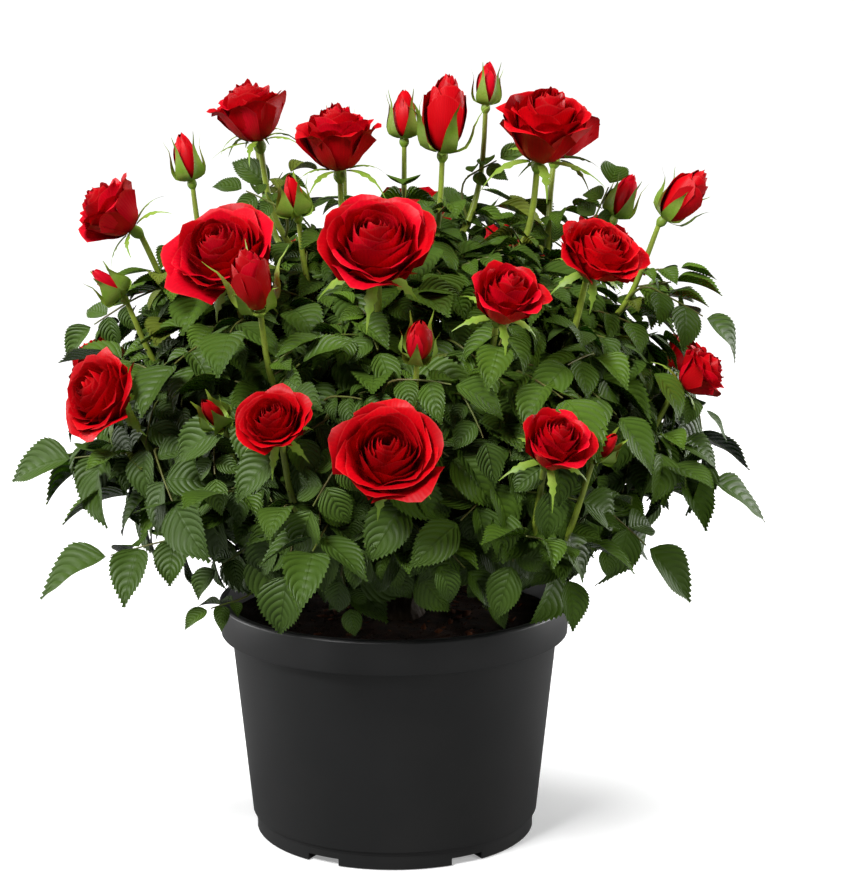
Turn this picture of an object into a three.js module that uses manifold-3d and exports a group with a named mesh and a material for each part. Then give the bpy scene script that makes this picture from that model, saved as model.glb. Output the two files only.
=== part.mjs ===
// A red patio rose with five-leaflet leaves, in a squat black nursery pot.
// Millimetres, +Z up. The origin is the centre of the pot's foot ring, and -Y is the front.
import * as THREE from 'three';
import { mergeVertices } from 'three/addons/utils/BufferGeometryUtils.js';
import Module from 'manifold-3d';

const wasm = await Module();
wasm.setup();

const GAP = 0.3; // left between pieces that touch

// Pot and soil
const SIDES = 36;
const POT_HEIGHT = 155;
const RIM_RADIUS = 115;
const LIP_WIDTH = 5;
const LIP_ROUND = 1.4;
const COLLAR_HEIGHT = 22;
const COLLAR_TAPER = 1.2;
const WALL_TOP_RADIUS = 107;
const WALL_FOOT_RADIUS = 94.5;
const FOOT_RADIUS = 92;
const FOOT_HEIGHT = 12;
const FOOT_RING_WIDTH = 12;
const WALL = 2.2;
const BASE_LIFT = 6;
const BASE_THICK = 3;
const DRAINS = 6;
const DRAIN_WIDTH = 22;
const DRAIN_HEIGHT = 4.5;
const SOIL_EDGE_HEIGHT = 140;
const SOIL_HEIGHT = 143;
const SOIL_PAD_RADIUS = 30;

// Stock: the short knuckle that the canes spring from
const STOCK_SIDES = 12;
const STOCK_HEIGHT = 24;
// radius and share of the height of each ring, from the root flare up to the knuckle
const STOCK_RINGS = [[21, 0], [16.5, 0.25], [15, 0.5], [17, 0.72], [11, 0.92]];

// Crown: the leafy shell is an ellipsoid, and every mass fans out from the hub
const HUB = new THREE.Vector3(0, 0, 190);
const HOLLOW = 70; // the canes' open space round the hub
const CROWN_CENTRE = new THREE.Vector3(0, 0, 265);
const CROWN_AXES = new THREE.Vector3(178, 172, 172);
const REACH = new THREE.Vector3(243, 233, 497); // furthest tips: half width, half depth, height
const LOWEST_LEAF = 161;
const LOWEST_SPOT = 182;
const SPACE_MARGIN = 0.8; // kept between a twig or leaf and the edge of its mass's space
const CONE_BULGE = 2.4; // how far a straight edge under a cone may cut up into it

// Masses: each has the space between two azimuths from +X and two elevations above the hub
const MASSES = {
  top: [0, 360, 64.5, 90],
  upper_front_left: [204, 283, 38, 64.5],
  upper_front_right: [283, 345, 38, 64.5],
  upper_right: [345, 420, 38, 64.5],
  upper_back: [60, 132, 38, 64.5],
  upper_left: [132, 204, 38, 64.5],
  lower_left: [172, 228, -20, 38],
  lower_front: [228, 283, -20, 38],
  lower_front_right: [283, 363, -20, 38],
  lower_back_right: [3, 60, -20, 38],
  lower_back: [60, 116, -20, 38],
  lower_back_left: [116, 172, -20, 38],
};
const LOW_STEM = 13; // elevation of the stems in the lower ring

// Canes and twigs
const CANE_FOOT_RADIUS = 3.4;
const CANE_TIP_RADIUS = 2.7;
const CANE_SIDES = 6;
const CANE_STEPS = 4;
const FACE_TURN = 30; // turns a three-sided limb so that a flat faces up
const STEM_TIP_RADIUS = 1.7;
const STEM_PERCHES = [0.3, 0.44, 0.58, 0.72, 0.86, 0.97];
const STEM_SHARE = 0.62; // of the way from the hub to the leafy shell
const SHOOT_RADIUS = 1.7;
const SHOOT_TIP_RADIUS = 1.3;
const SHOOT_PERCHES = [0.2, 0.35, 0.5, 0.65, 0.8, 0.95];
const SHOOT_STEPS = 2;

// Leaves: thin blades cut to their leaflets' outline, one for every spot on the shell,
// larger than life; some spots get a leafless shoot first, for the leaves round it
const LEAF_SPOTS = 185;
const LEAF_SEED = 412;
const SHOOT_EVERY = 8;
const SHOOT_INSET = 26;
const LEAF_LENGTH = 122;
const LEAF_SIZES = [1, 0.82, 0.66, 0.5];
const MOST_CONTACTS = 2; // places where a new leaf may meet what has grown
const LEAF_INSET = 12;
const LEAF_SWING = 70; // degrees that a leaf may turn from straight outward
const BLADE_THICKNESS = 1.4;
const FOOT_DEPTH = 0.9; // how far a leaf's pointed foot runs past the middle of its twig
const LEAST_LEAD = 0.1; // how far a petiole heads the leaf's own way, as a cosine
const PETIOLE_ROOT = -1; // marks the outline's first corner, which stays at the perch
const PETIOLE_HALF_WIDTH = 1.1;
const SIDE_DROOP = 0.18; // how far a leaflet hangs below the leaf's middle, by its reach
// for each pair of leaflets and for the last one: place along the leaf, length and
// width as shares of the leaf's length, and spread in degrees
const THREE_LEAFLETS = [[0.14, 0.46, 0.32, 66], [0.42, 0.58, 0.4, 0]];
const FIVE_LEAFLETS = [[0.04, 0.32, 0.23, 70], [0.3, 0.4, 0.28, 64], [0.48, 0.52, 0.36, 0]];
const WIDEST = 0.45; // of the way from a leaflet's root to its tip

// Flowers: kind, place of the middle, width, lean from upright and the azimuth it leans to
const FLOWERS = [
  ['half', [-91, 10, 472], 52, 14, 200],
  ['half', [-35, -25, 457], 55, 10, 250],
  ['bud', [-132, 12, 438], 20, 12, 180],
  ['bud', [7, 10, 465], 20, 5, 90],
  ['half', [33, 0, 466], 36, 8, 300],
  ['bud', [61, 40, 484], 18, 5, 40],
  ['open', [96, -8, 464], 64, 22, 290],
  ['bud', [149, 30, 412], 20, 25, 20],
  ['bud', [183, -10, 416], 28, 40, 350],
  ['open', [125, -90, 392], 56, 38, 300],
  ['half', [-177, -40, 412], 48, 50, 195],
  ['open', [-103, -98, 393], 70, 42, 250],
  ['bud', [-81, -150, 378], 30, 30, 250],
  ['open', [-10, -146, 403], 72, 42, 268],
  ['half', [65, -152, 372], 46, 38, 290],
  ['bud', [-174, -60, 366], 16, 45, 200],
  ['bud', [-60, -72, 420], 17, 20, 240],
  ['open', [-178, -112, 308], 58, 62, 222],
  ['open', [-68, -190, 306], 46, 45, 255],
  ['open', [-4, -194, 288], 66, 52, 270],
  ['bud', [14, -176, 346], 20, 40, 275],
  ['half', [92, -185, 292], 44, 42, 290],
  ['bud', [121, -166, 284], 14, 45, 310],
  ['half', [192, -60, 312], 38, 55, 345],
  ['bud', [-104, -154, 302], 15, 45, 236],
  ['open', [113, 80, 458], 54, 25, 60],
  ['half', [-97, 72, 470], 42, 18, 150],
  ['open', [148, 84, 378], 62, 45, 30],
  ['open', [-117, 84, 376], 58, 45, 150],
  ['open', [14, 148, 392], 70, 42, 88],
  ['half', [-84, 160, 288], 50, 45, 115],
  ['open', [88, 164, 368], 56, 50, 62],
  ['half', [200, 66, 300], 44, 60, 15],
  ['half', [-201, 52, 302], 44, 60, 165],
  ['open', [26, 196, 282], 62, 55, 88],
  ['open', [-146, 140, 280], 54, 60, 138],
  ['half', [150, 144, 262], 42, 60, 40],
  ['bud', [-36, 104, 452], 20, 20, 110],
  ['bud', [-20, 176, 352], 20, 40, 95],
  ['bud', [-72, 158, 368], 18, 40, 105],
  ['bud', [170, 112, 250], 16, 45, 35],
];

// Profiles of the flowers: radius and height, in widths, from the hip to the heart
const OUTLINES = {
  open: [[0, -0.44], [0.42, -0.1], [0.5, 0.12], [0, 0.24]],
  half: [[0, -0.66], [0.44, -0.16], [0.5, 0.24], [0, 0.5]],
  bud: [[0, -0.95], [0.5, -0.3], [0, 0.95]],
};
const FLOWER_SIDES = { open: 10, half: 7, bud: 4 };
const RIM_POINT = 2; // the profile point that waves with the outer petals
const PETAL_WAVE = 0.07;
const FOOT_SUNK = 0.06; // how far a shoot runs into its flower, in widths

// Leaves that stand out past the shell: foot, tip and the way the upper side faces
const OUTER_LEAVES = [
  [[-160, -60, 276], [-242, -60, 258], [0.2, -0.6, 0.8]],
  [[-128, -104, 214], [-212, -112, 198], [-0.2, -0.5, 0.9]],
  [[162, -46, 232], [242, -40, 232], [0, -0.6, 0.8]],
  [[126, -90, 216], [188, -92, 184], [0.3, -0.6, 0.7]],
  [[172, -20, 370], [228, -20, 328], [0.7, -0.3, 0.6]],
  [[-168, 6, 352], [-224, 0, 322], [-0.6, -0.3, 0.7]],
  [[-60, -140, 214], [-68, -196, 172], [0, -0.8, 0.6]],
  [[40, -140, 212], [52, -198, 174], [0.1, -0.8, 0.6]],
  [[164, 60, 262], [242, 62, 246], [0.1, 0.4, 0.9]],
  [[-160, 70, 240], [-242, 66, 226], [-0.1, 0.5, 0.8]],
  [[60, 158, 236], [64, 232, 212], [0, 0.7, 0.7]],
  [[-40, 156, 230], [-44, 232, 206], [0, 0.7, 0.7]],
  [[-38, -152, 238], [-54, -232, 224], [0, -0.5, 0.9]],
];

const radians = THREE.MathUtils.degToRad;

// Mulberry32: the same numbers from the same seed, from 0 to 1
function randomFrom(seed) {
  let state = seed >>> 0;
  return () => {
    state = (state + 0x6d2b79f5) >>> 0;
    let mixed = Math.imul(state ^ (state >>> 15), 1 | state);
    mixed = (mixed + Math.imul(mixed ^ (mixed >>> 7), 61 | mixed)) ^ mixed;
    return ((mixed ^ (mixed >>> 14)) >>> 0) / 4294967296;
  };
}

function direction(azimuth, elevation) {
  const flat = Math.cos(radians(elevation));
  return new THREE.Vector3(
    flat * Math.cos(radians(azimuth)),
    flat * Math.sin(radians(azimuth)),
    Math.sin(radians(elevation)),
  );
}

function flatPart(vector, normal) {
  return vector.clone().addScaledVector(normal, -vector.dot(normal)).normalize();
}

// Solids

function signedVolume(position, triangles) {
  const [a, b, c] = [new THREE.Vector3(), new THREE.Vector3(), new THREE.Vector3()];
  let total = 0;
  for (let i = 0; i < triangles.length; i += 3) {
    a.fromBufferAttribute(position, triangles[i]);
    b.fromBufferAttribute(position, triangles[i + 1]);
    c.fromBufferAttribute(position, triangles[i + 2]);
    total += a.dot(b.cross(c));
  }
  return total;
}

function solid(geometry) {
  const bare = geometry.clone();
  bare.deleteAttribute('normal');
  bare.deleteAttribute('uv');
  const merged = mergeVertices(bare, 1e-4);
  const index = merged.index.array;
  const triangles = [];
  for (let i = 0; i < index.length; i += 3) {
    const [a, b, c] = [index[i], index[i + 1], index[i + 2]];
    if (a !== b && b !== c && c !== a) triangles.push(a, b, c);
  }
  if (signedVolume(merged.attributes.position, triangles) < 0) triangles.reverse();
  const mesh = new wasm.Mesh({
    numProp: 3,
    vertProperties: new Float32Array(merged.attributes.position.array),
    triVerts: new Uint32Array(triangles),
  });
  return new wasm.Manifold(mesh);
}

function geometryOf(manifold) {
  const mesh = manifold.getMesh();
  const geometry = new THREE.BufferGeometry();
  geometry.setAttribute('position', new THREE.BufferAttribute(mesh.vertProperties.slice(), 3));
  geometry.setIndex(new THREE.BufferAttribute(mesh.triVerts.slice(), 1));
  geometry.computeVertexNormals();
  return geometry;
}

// A closed profile of [radius, height] pairs turned about the Z axis
function turned(profile, sides) {
  const points = profile.map(([radius, height]) => new THREE.Vector2(radius, height));
  return new THREE.LatheGeometry(points, sides).rotateX(Math.PI / 2);
}

// A tapering limb: a cylinder laid along a curve in straight stretches, one flat towards up
function limb(curve, footRadius, tipRadius, sides, steps, up) {
  const geometry = new THREE.CylinderGeometry(tipRadius, footRadius, 1, sides, steps);
  geometry.rotateY(radians(FACE_TURN));
  const position = geometry.attributes.position;
  const point = new THREE.Vector3();
  for (let i = 0; i < position.count; i += 1) {
    point.fromBufferAttribute(position, i);
    const share = Math.round((point.y + 0.5) * steps) / steps;
    const way = curve.getTangentAt(share);
    const normal = flatPart(up, way);
    const side = new THREE.Vector3().crossVectors(normal, way);
    const middle = curve.getPointAt(share);
    middle.addScaledVector(normal, point.x).addScaledVector(side, point.z);
    position.setXYZ(i, middle.x, middle.y, middle.z);
  }
  return geometry;
}

// The way and the place on a limb's straight stretches, at a share of its length
function stationOn(curve, steps, share) {
  const step = Math.min(Math.floor(share * steps), steps - 1);
  const start = curve.getPointAt(step / steps);
  const end = curve.getPointAt((step + 1) / steps);
  const way = end.clone().sub(start).normalize();
  return { way, place: start.lerp(end, share * steps - step) };
}

function placesOn(curve, steps, shares) {
  return shares.map((share) => stationOn(curve, steps, share).place);
}

// Pot, soil and stock

function potInside(inset) {
  const collarBottom = POT_HEIGHT - COLLAR_HEIGHT;
  const floor = BASE_LIFT + BASE_THICK;
  return [
    [RIM_RADIUS - LIP_WIDTH - inset, collarBottom + WALL],
    [WALL_TOP_RADIUS - WALL - inset, collarBottom - WALL],
    [WALL_FOOT_RADIUS - WALL - inset, floor + inset],
  ];
}

function potShape() {
  const collarBottom = POT_HEIGHT - COLLAR_HEIGHT;
  const ringRadius = FOOT_RADIUS - FOOT_RING_WIDTH;
  const profile = [
    [0, BASE_LIFT],
    [ringRadius, BASE_LIFT],
    [ringRadius, 0],
    [FOOT_RADIUS, 0],
    [FOOT_RADIUS, FOOT_HEIGHT],
    [WALL_FOOT_RADIUS, FOOT_HEIGHT],
    [WALL_TOP_RADIUS, collarBottom],
    [RIM_RADIUS - COLLAR_TAPER, collarBottom],
    [RIM_RADIUS, POT_HEIGHT - LIP_ROUND],
    [RIM_RADIUS - LIP_ROUND, POT_HEIGHT],
    [RIM_RADIUS - LIP_WIDTH, POT_HEIGHT],
    ...potInside(0),
    [0, BASE_LIFT + BASE_THICK],
  ];
  let pot = solid(turned(profile, SIDES));
  for (let i = 0; i < DRAINS; i += 1) {
    const drain = new THREE.BoxGeometry(3 * FOOT_RING_WIDTH, DRAIN_WIDTH, 2 * DRAIN_HEIGHT);
    drain.translate(FOOT_RADIUS, 0, 0);
    drain.rotateZ((i * 2 * Math.PI) / DRAINS);
    pot = pot.subtract(solid(drain));
  }
  return pot;
}

function soilShape() {
  const floor = BASE_LIFT + BASE_THICK + GAP;
  const profile = [
    [0, SOIL_HEIGHT],
    [SOIL_PAD_RADIUS, SOIL_HEIGHT],
    [RIM_RADIUS - LIP_WIDTH - GAP, SOIL_EDGE_HEIGHT],
    ...potInside(GAP),
    [0, floor],
  ];
  return solid(turned(profile, SIDES));
}

function stockShape(grown) {
  const foot = SOIL_HEIGHT + GAP;
  const rings = STOCK_RINGS.map(([radius, share]) => [radius + grown, foot + share * STOCK_HEIGHT]);
  rings[0][1] -= grown;
  const profile = [[0, rings[0][1]], ...rings, [0, foot + STOCK_HEIGHT + grown]];
  return solid(turned(profile, STOCK_SIDES));
}

// Masses and their spaces

function makeMasses() {
  return Object.entries(MASSES).map(([name, [from, to, low, high]]) => {
    const azimuth = (from + to) / 2;
    let elevation = (low + high) / 2;
    if (high === 90) elevation = 90;
    if (low < 0) elevation = LOW_STEM;
    return { name, from, to, low, high, azimuth, elevation, heading: direction(azimuth, elevation) };
  });
}

// Distance from a point to the nearest edge of a mass's space, negative outside it
function clearance(mass, point) {
  const ray = point.clone().sub(HUB);
  const flat = Math.hypot(ray.x, ray.y);
  const elevation = Math.atan2(ray.z, flat);
  const above = ray.length() * Math.sin(elevation - radians(mass.low));
  if (mass.high === 90) return above;
  const half = radians((mass.to - mass.from) / 2);
  const turn = Math.atan2(ray.y, ray.x) - radians(mass.azimuth);
  const off = Math.abs(Math.atan2(Math.sin(turn), Math.cos(turn)));
  const beside = flat * Math.sin(half - off);
  const below = ray.length() * Math.sin(radians(mass.high) - elevation) - CONE_BULGE;
  return Math.min(above, below, beside);
}

function massAt(masses, point) {
  return masses.reduce((a, b) => (clearance(b, point) > clearance(a, point) ? b : a));
}

function isFree(mass, point) {
  return (
    point.distanceTo(HUB) > HOLLOW + SPACE_MARGIN &&
    point.z > LOWEST_LEAF &&
    point.z < REACH.z &&
    Math.abs(point.x) < REACH.x &&
    Math.abs(point.y) < REACH.y &&
    clearance(mass, point) > SPACE_MARGIN
  );
}

// Canes

// A level way across a mass's limbs, never in line with them
function acrossOf(mass) {
  return direction(mass.azimuth + 90, 0);
}

function caneTip(mass) {
  return HUB.clone().addScaledVector(mass.heading, HOLLOW);
}

function caneCurve(mass) {
  const low = mass.elevation < 30;
  const top = mass.elevation > 60;
  const foot = direction(mass.azimuth, 0).multiplyScalar(top ? 0 : low ? 13 : 9);
  foot.z = SOIL_HEIGHT + STOCK_HEIGHT * (low ? 0.55 : 0.8);
  const rise = foot.clone().addScaledVector(direction(mass.azimuth, low ? 38 : 74), 24);
  const bend = caneTip(mass).addScaledVector(mass.heading, -22);
  return new THREE.CubicBezierCurve3(foot, rise, bend, caneTip(mass));
}

function caneShape(mass) {
  const [foot, tip] = [CANE_FOOT_RADIUS, CANE_TIP_RADIUS];
  const cane = limb(caneCurve(mass), foot, tip, CANE_SIDES, CANE_STEPS, acrossOf(mass));
  return solid(cane).subtract(stockShape(GAP));
}

// Twigs, leaves and flowers

// Distance from the hub to the leafy shell
function shellDistance(heading) {
  const start = HUB.clone().sub(CROWN_CENTRE).divide(CROWN_AXES);
  const way = heading.clone().divide(CROWN_AXES);
  const [a, b, c] = [way.lengthSq(), start.dot(way), start.lengthSq() - 1];
  return (-b + Math.sqrt(b * b - a * c)) / a;
}

function stemCurve(mass) {
  const foot = HUB.clone().addScaledVector(mass.heading, HOLLOW + GAP);
  const tip = HUB.clone().addScaledVector(mass.heading, shellDistance(mass.heading) * STEM_SHARE);
  return new THREE.LineCurve3(foot, tip);
}

// Spots spread evenly over the shell, each with its outward normal and a leaf's way across it
function leafSpots(count, seed) {
  const golden = Math.PI * (3 - Math.sqrt(5));
  const lowest = (LOWEST_SPOT - CROWN_CENTRE.z) / CROWN_AXES.z;
  const spots = [];
  for (let i = 0; i < count; i += 1) {
    const random = randomFrom(seed + i);
    const height = 1 - ((i + 0.5) / count) * (1 - lowest);
    const flat = Math.sqrt(1 - height * height);
    const turn = i * golden + (random() - 0.5) * 0.16;
    const unit = new THREE.Vector3(flat * Math.cos(turn), flat * Math.sin(turn), height);
    const middle = unit.clone().multiply(CROWN_AXES).add(CROWN_CENTRE);
    const normal = unit.clone().divide(CROWN_AXES).normalize();
    const outward = new THREE.Vector3(0.6 * Math.cos(turn), 0.6 * Math.sin(turn), -1);
    const way = flatPart(outward, normal);
    way.applyAxisAngle(normal, radians(LEAF_SWING) * (2 * random() - 1));
    const face = normal.clone().add(new THREE.Vector3(0, 0, 0.5)).normalize();
    spots.push({ middle, normal, way, face });
  }
  return spots;
}

// A twig from a perch to a foot, reaching it along the given way
function twigCurve(perch, foot, way) {
  const span = perch.distanceTo(foot);
  const bend = foot.clone().addScaledVector(way, -0.4 * span);
  return new THREE.QuadraticBezierCurve3(perch, bend, foot);
}

function nearest(perches, point) {
  return perches.reduce((a, b) => (b.distanceToSquared(point) < a.distanceToSquared(point) ? b : a));
}

// One side of a leaf's outline as [along, across] pairs, from its petiole's root to its tip
function leafEdge(length, leaflets) {
  const edge = [[PETIOLE_ROOT, 0]];
  for (const [place, share, widthShare, spread] of leaflets) {
    const root = place * length;
    const [reach, half] = [share * length, (widthShare * length) / 2];
    const [along, across] = [Math.cos(radians(spread)), Math.sin(radians(spread))];
    const middle = [root + WIDEST * reach * along, WIDEST * reach * across];
    edge.push([root - PETIOLE_HALF_WIDTH, PETIOLE_HALF_WIDTH]);
    edge.push([middle[0] - half * across, middle[1] + half * along]);
    edge.push([root + reach * along, reach * across]);
    if (spread === 0) continue;
    edge.push([middle[0] + half * across, middle[1] - half * along]);
    edge.push([root + PETIOLE_HALF_WIDTH * 1.5, PETIOLE_HALF_WIDTH]);
  }
  return edge;
}

// A whole leaf as one thin blade: its petiole runs from the perch to the foot, and its leaflets
// lie along the way from there, with the upper side towards the face
function leafShape(perch, foot, way, face, length, leaflets) {
  const edge = leafEdge(length, leaflets);
  const back = edge.slice(1, -1).reverse().map(([along, across]) => [along, -across]);
  const outline = new THREE.Shape([...edge, ...back].map((point) => new THREE.Vector2(...point)));
  const blade = new THREE.ExtrudeGeometry(outline, { depth: BLADE_THICKNESS, bevelEnabled: false });
  blade.translate(0, 0, -BLADE_THICKNESS / 2);
  const normal = flatPart(face, way);
  const side = new THREE.Vector3().crossVectors(normal, way);
  const root = perch.clone().sub(foot).setLength(FOOT_DEPTH).add(perch);
  const position = blade.attributes.position;
  const point = new THREE.Vector3();
  for (let i = 0; i < position.count; i += 1) {
    point.fromBufferAttribute(position, i);
    const place = point.x === PETIOLE_ROOT ? root.clone() : foot.clone().addScaledVector(way, point.x);
    place.addScaledVector(side, point.y);
    place.addScaledVector(normal, point.z - SIDE_DROOP * Math.abs(point.y));
    position.setXYZ(i, place.x, place.y, place.z);
  }
  return blade;
}

function cornersOf(shape) {
  const position = shape.attributes.position;
  const corners = [];
  for (let i = 0; i < position.count; i += 1) {
    corners.push(new THREE.Vector3().fromBufferAttribute(position, i));
  }
  return corners;
}

function flowerShape(flower) {
  const sides = FLOWER_SIDES[flower.kind];
  const shape = turned(OUTLINES[flower.kind], sides);
  const position = shape.attributes.position;
  const rim = OUTLINES[flower.kind][RIM_POINT][1];
  for (let i = 0; i < position.count; i += 1) {
    const [x, y, z] = [position.getX(i), position.getY(i), position.getZ(i)];
    const wave = Math.abs(z - rim) < 1e-6 ? PETAL_WAVE * Math.cos((sides / 2) * Math.atan2(y, x)) : 0;
    position.setXYZ(i, x * (1 + wave), y * (1 + wave), z);
  }
  shape.scale(flower.width, flower.width, flower.width);
  const turn = new THREE.Quaternion().setFromUnitVectors(new THREE.Vector3(0, 0, 1), flower.axis);
  return shape.applyQuaternion(turn).translate(...flower.middle.toArray());
}

function growFlowers(masses, mass, perches) {
  mass.flowers = [];
  for (const [kind, place, width, lean, azimuth] of FLOWERS) {
    const middle = new THREE.Vector3(...place);
    if (massAt(masses, middle) !== mass) continue;
    const flower = { kind, middle, width, axis: direction(azimuth, 90 - lean) };
    const lowest = OUTLINES[kind][0][1] + FOOT_SUNK;
    const foot = middle.clone().addScaledVector(flower.axis, lowest * width);
    const perch = nearest(perches, foot.clone().addScaledVector(flower.axis, -30));
    const curve = twigCurve(perch, foot, flower.axis);
    const shoot = limb(curve, SHOOT_RADIUS, SHOOT_TIP_RADIUS, 3, SHOOT_STEPS, acrossOf(mass));
    mass.grown = mass.grown.add(solid(shoot)).add(solid(flowerShape(flower)));
    perches.splice(perches.indexOf(perch), 1, ...placesOn(curve, SHOOT_STEPS, SHOOT_PERCHES));
    mass.flowers.push(flower);
  }
}

function isClearOfFlowers(mass, point) {
  return mass.flowers.every((flower) => point.distanceTo(flower.middle) > flower.width * 0.55);
}

function fits(mass, point) {
  return isFree(mass, point) && isClearOfFlowers(mass, point);
}

// A leaf that stays in the mass's space and meets little but its own twig
function growLeaf(mass, perches, foot, way, face, length, leaflets) {
  const perch = nearest(perches, foot);
  if (foot.clone().sub(perch).normalize().dot(way) < LEAST_LEAD) return false;
  const shape = leafShape(perch, foot, way, face, length, leaflets);
  if (!cornersOf(shape).every((point) => point.distanceTo(perch) < 4 || fits(mass, point))) return false;
  const leaf = solid(shape);
  const contacts = mass.grown.intersect(leaf).decompose().length;
  if (contacts === 0 || contacts > MOST_CONTACTS) return false;
  mass.grown = mass.grown.add(leaf);
  perches.splice(perches.indexOf(perch), 1);
  return true;
}

// A spot's leaf is tried in every size, every way round and pulled in towards its mass's middle
function growSpotLeaf(mass, perches, spot) {
  const inward = flatPart(mass.heading, spot.normal);
  for (const size of LEAF_SIZES) {
    const length = size * LEAF_LENGTH;
    for (const pull of [0, 12, 24]) {
      for (const swing of [0, 35, -35, 75, -75, 120, -120, 170]) {
        const way = spot.way.clone().applyAxisAngle(spot.normal, radians(swing));
        const foot = spot.middle.clone().addScaledVector(inward, pull);
        foot.addScaledVector(way, -0.5 * length).addScaledVector(spot.normal, -LEAF_INSET);
        if (growLeaf(mass, perches, foot, way, spot.face, length, THREE_LEAFLETS)) return;
      }
    }
  }
}

function growShoot(mass, perches, spot) {
  const tip = spot.middle.clone().addScaledVector(spot.normal, -SHOOT_INSET);
  const perch = nearest(perches, tip.clone().addScaledVector(spot.normal, -30));
  const curve = twigCurve(perch, tip, spot.normal);
  const path = placesOn(curve, SHOOT_STEPS, SHOOT_PERCHES);
  if (!path.every((point) => fits(mass, point))) return;
  const shoot = limb(curve, SHOOT_RADIUS, SHOOT_TIP_RADIUS, 3, SHOOT_STEPS, acrossOf(mass));
  mass.grown = mass.grown.add(solid(shoot));
  perches.splice(perches.indexOf(perch), 1, ...path);
}

function growOuterLeaves(masses, mass, perches) {
  for (const [start, tip, face] of OUTER_LEAVES) {
    const foot = new THREE.Vector3(...start);
    if (massAt(masses, foot) !== mass) continue;
    const way = new THREE.Vector3(...tip).sub(foot);
    const length = way.length();
    growLeaf(mass, perches, foot, way.normalize(), new THREE.Vector3(...face), length, FIVE_LEAFLETS);
  }
}

// The one outer body: sealed hollows and loose scraps go
function outerBody(manifold) {
  return manifold.decompose().reduce((a, b) => (b.volume() > a.volume() ? b : a));
}

function foliageShape(masses, mass, spots) {
  const stem = stemCurve(mass);
  const perches = placesOn(stem, 1, STEM_PERCHES);
  mass.grown = solid(limb(stem, CANE_TIP_RADIUS, STEM_TIP_RADIUS, 5, 1, acrossOf(mass)));
  growFlowers(masses, mass, perches);
  const own = spots.filter((spot) => massAt(masses, spot.middle) === mass);
  own.filter((spot, i) => i % SHOOT_EVERY === 0).forEach((spot) => growShoot(mass, perches, spot));
  growOuterLeaves(masses, mass, perches);
  own.forEach((spot) => growSpotLeaf(mass, perches, spot));
  return outerBody(mass.grown);
}

// The whole plant

const MATERIALS = {
  plastic: new THREE.MeshStandardMaterial({ color: 0x17181a, roughness: 0.42 }),
  peat: new THREE.MeshStandardMaterial({ color: 0x2b1d16, roughness: 1 }),
  bark: new THREE.MeshStandardMaterial({ color: 0x6d5a3c, roughness: 0.85 }),
  cane: new THREE.MeshStandardMaterial({ color: 0x63733a, roughness: 0.6 }),
  foliage: new THREE.MeshStandardMaterial({ color: 0x35502a, roughness: 0.5 }),
};

function node(name, manifold, material) {
  const mesh = new THREE.Mesh(geometryOf(manifold), MATERIALS[material].clone());
  mesh.name = name;
  return mesh;
}

function roseBush() {
  const plant = new THREE.Group();
  plant.name = 'rose_bush';
  plant.add(node('pot', potShape(), 'plastic'));
  plant.add(node('soil', soilShape(), 'peat'));
  plant.add(node('stock', stockShape(0), 'bark'));
  const masses = makeMasses();
  const spots = leafSpots(LEAF_SPOTS, LEAF_SEED);
  for (const mass of masses) {
    plant.add(node(`cane_${mass.name}`, caneShape(mass), 'cane'));
    plant.add(node(`foliage_${mass.name}`, foliageShape(masses, mass, spots), 'foliage'));
  }
  return plant;
}

export default roseBush();
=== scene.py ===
"""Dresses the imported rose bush: a red patio rose with glossy leaves in a squat black nursery pot.

Blender's lengths are metres, +Z up, with -Y as the front of the plant. The growth rule works in millimetres,
as the tables of the plant's source do, and each mesh is scaled down as it is made.
"""

import functools
import math

import bpy
import numpy as np
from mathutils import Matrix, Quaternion, Vector, noise


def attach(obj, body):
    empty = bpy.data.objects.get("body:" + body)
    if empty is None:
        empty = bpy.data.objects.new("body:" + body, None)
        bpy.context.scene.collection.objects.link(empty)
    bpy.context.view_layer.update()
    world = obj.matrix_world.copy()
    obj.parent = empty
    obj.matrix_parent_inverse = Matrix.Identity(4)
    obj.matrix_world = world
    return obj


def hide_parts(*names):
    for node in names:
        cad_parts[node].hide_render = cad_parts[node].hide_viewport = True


bl_info = {
    "name": "Potted Rose Dresser",
    "version": (1, 0, 0),
    "blender": (4, 5, 0),
    "location": "View3D > Sidebar > Rose",
    "description": "Grows the leaves and blooms of a potted rose over its packed frame",
    "category": "Object",
}

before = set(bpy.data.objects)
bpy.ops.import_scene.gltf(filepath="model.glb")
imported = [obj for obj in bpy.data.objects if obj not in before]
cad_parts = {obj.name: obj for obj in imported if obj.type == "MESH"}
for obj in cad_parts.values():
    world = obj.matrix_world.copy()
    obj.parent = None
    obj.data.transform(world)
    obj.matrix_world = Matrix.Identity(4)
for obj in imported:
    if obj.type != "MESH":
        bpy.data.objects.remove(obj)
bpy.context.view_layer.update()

MM = 0.001
UP = Vector((0, 0, 1))
GOLDEN_ANGLE = math.pi * (3 - math.sqrt(5))
ANY_TURN = 6.3  # a little over a full turn in radians, for turns and phases drawn at random
LEAF_MAP = "OFBake"  # the map that leaves, petals and sepals carry, and that their patterns read

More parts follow.
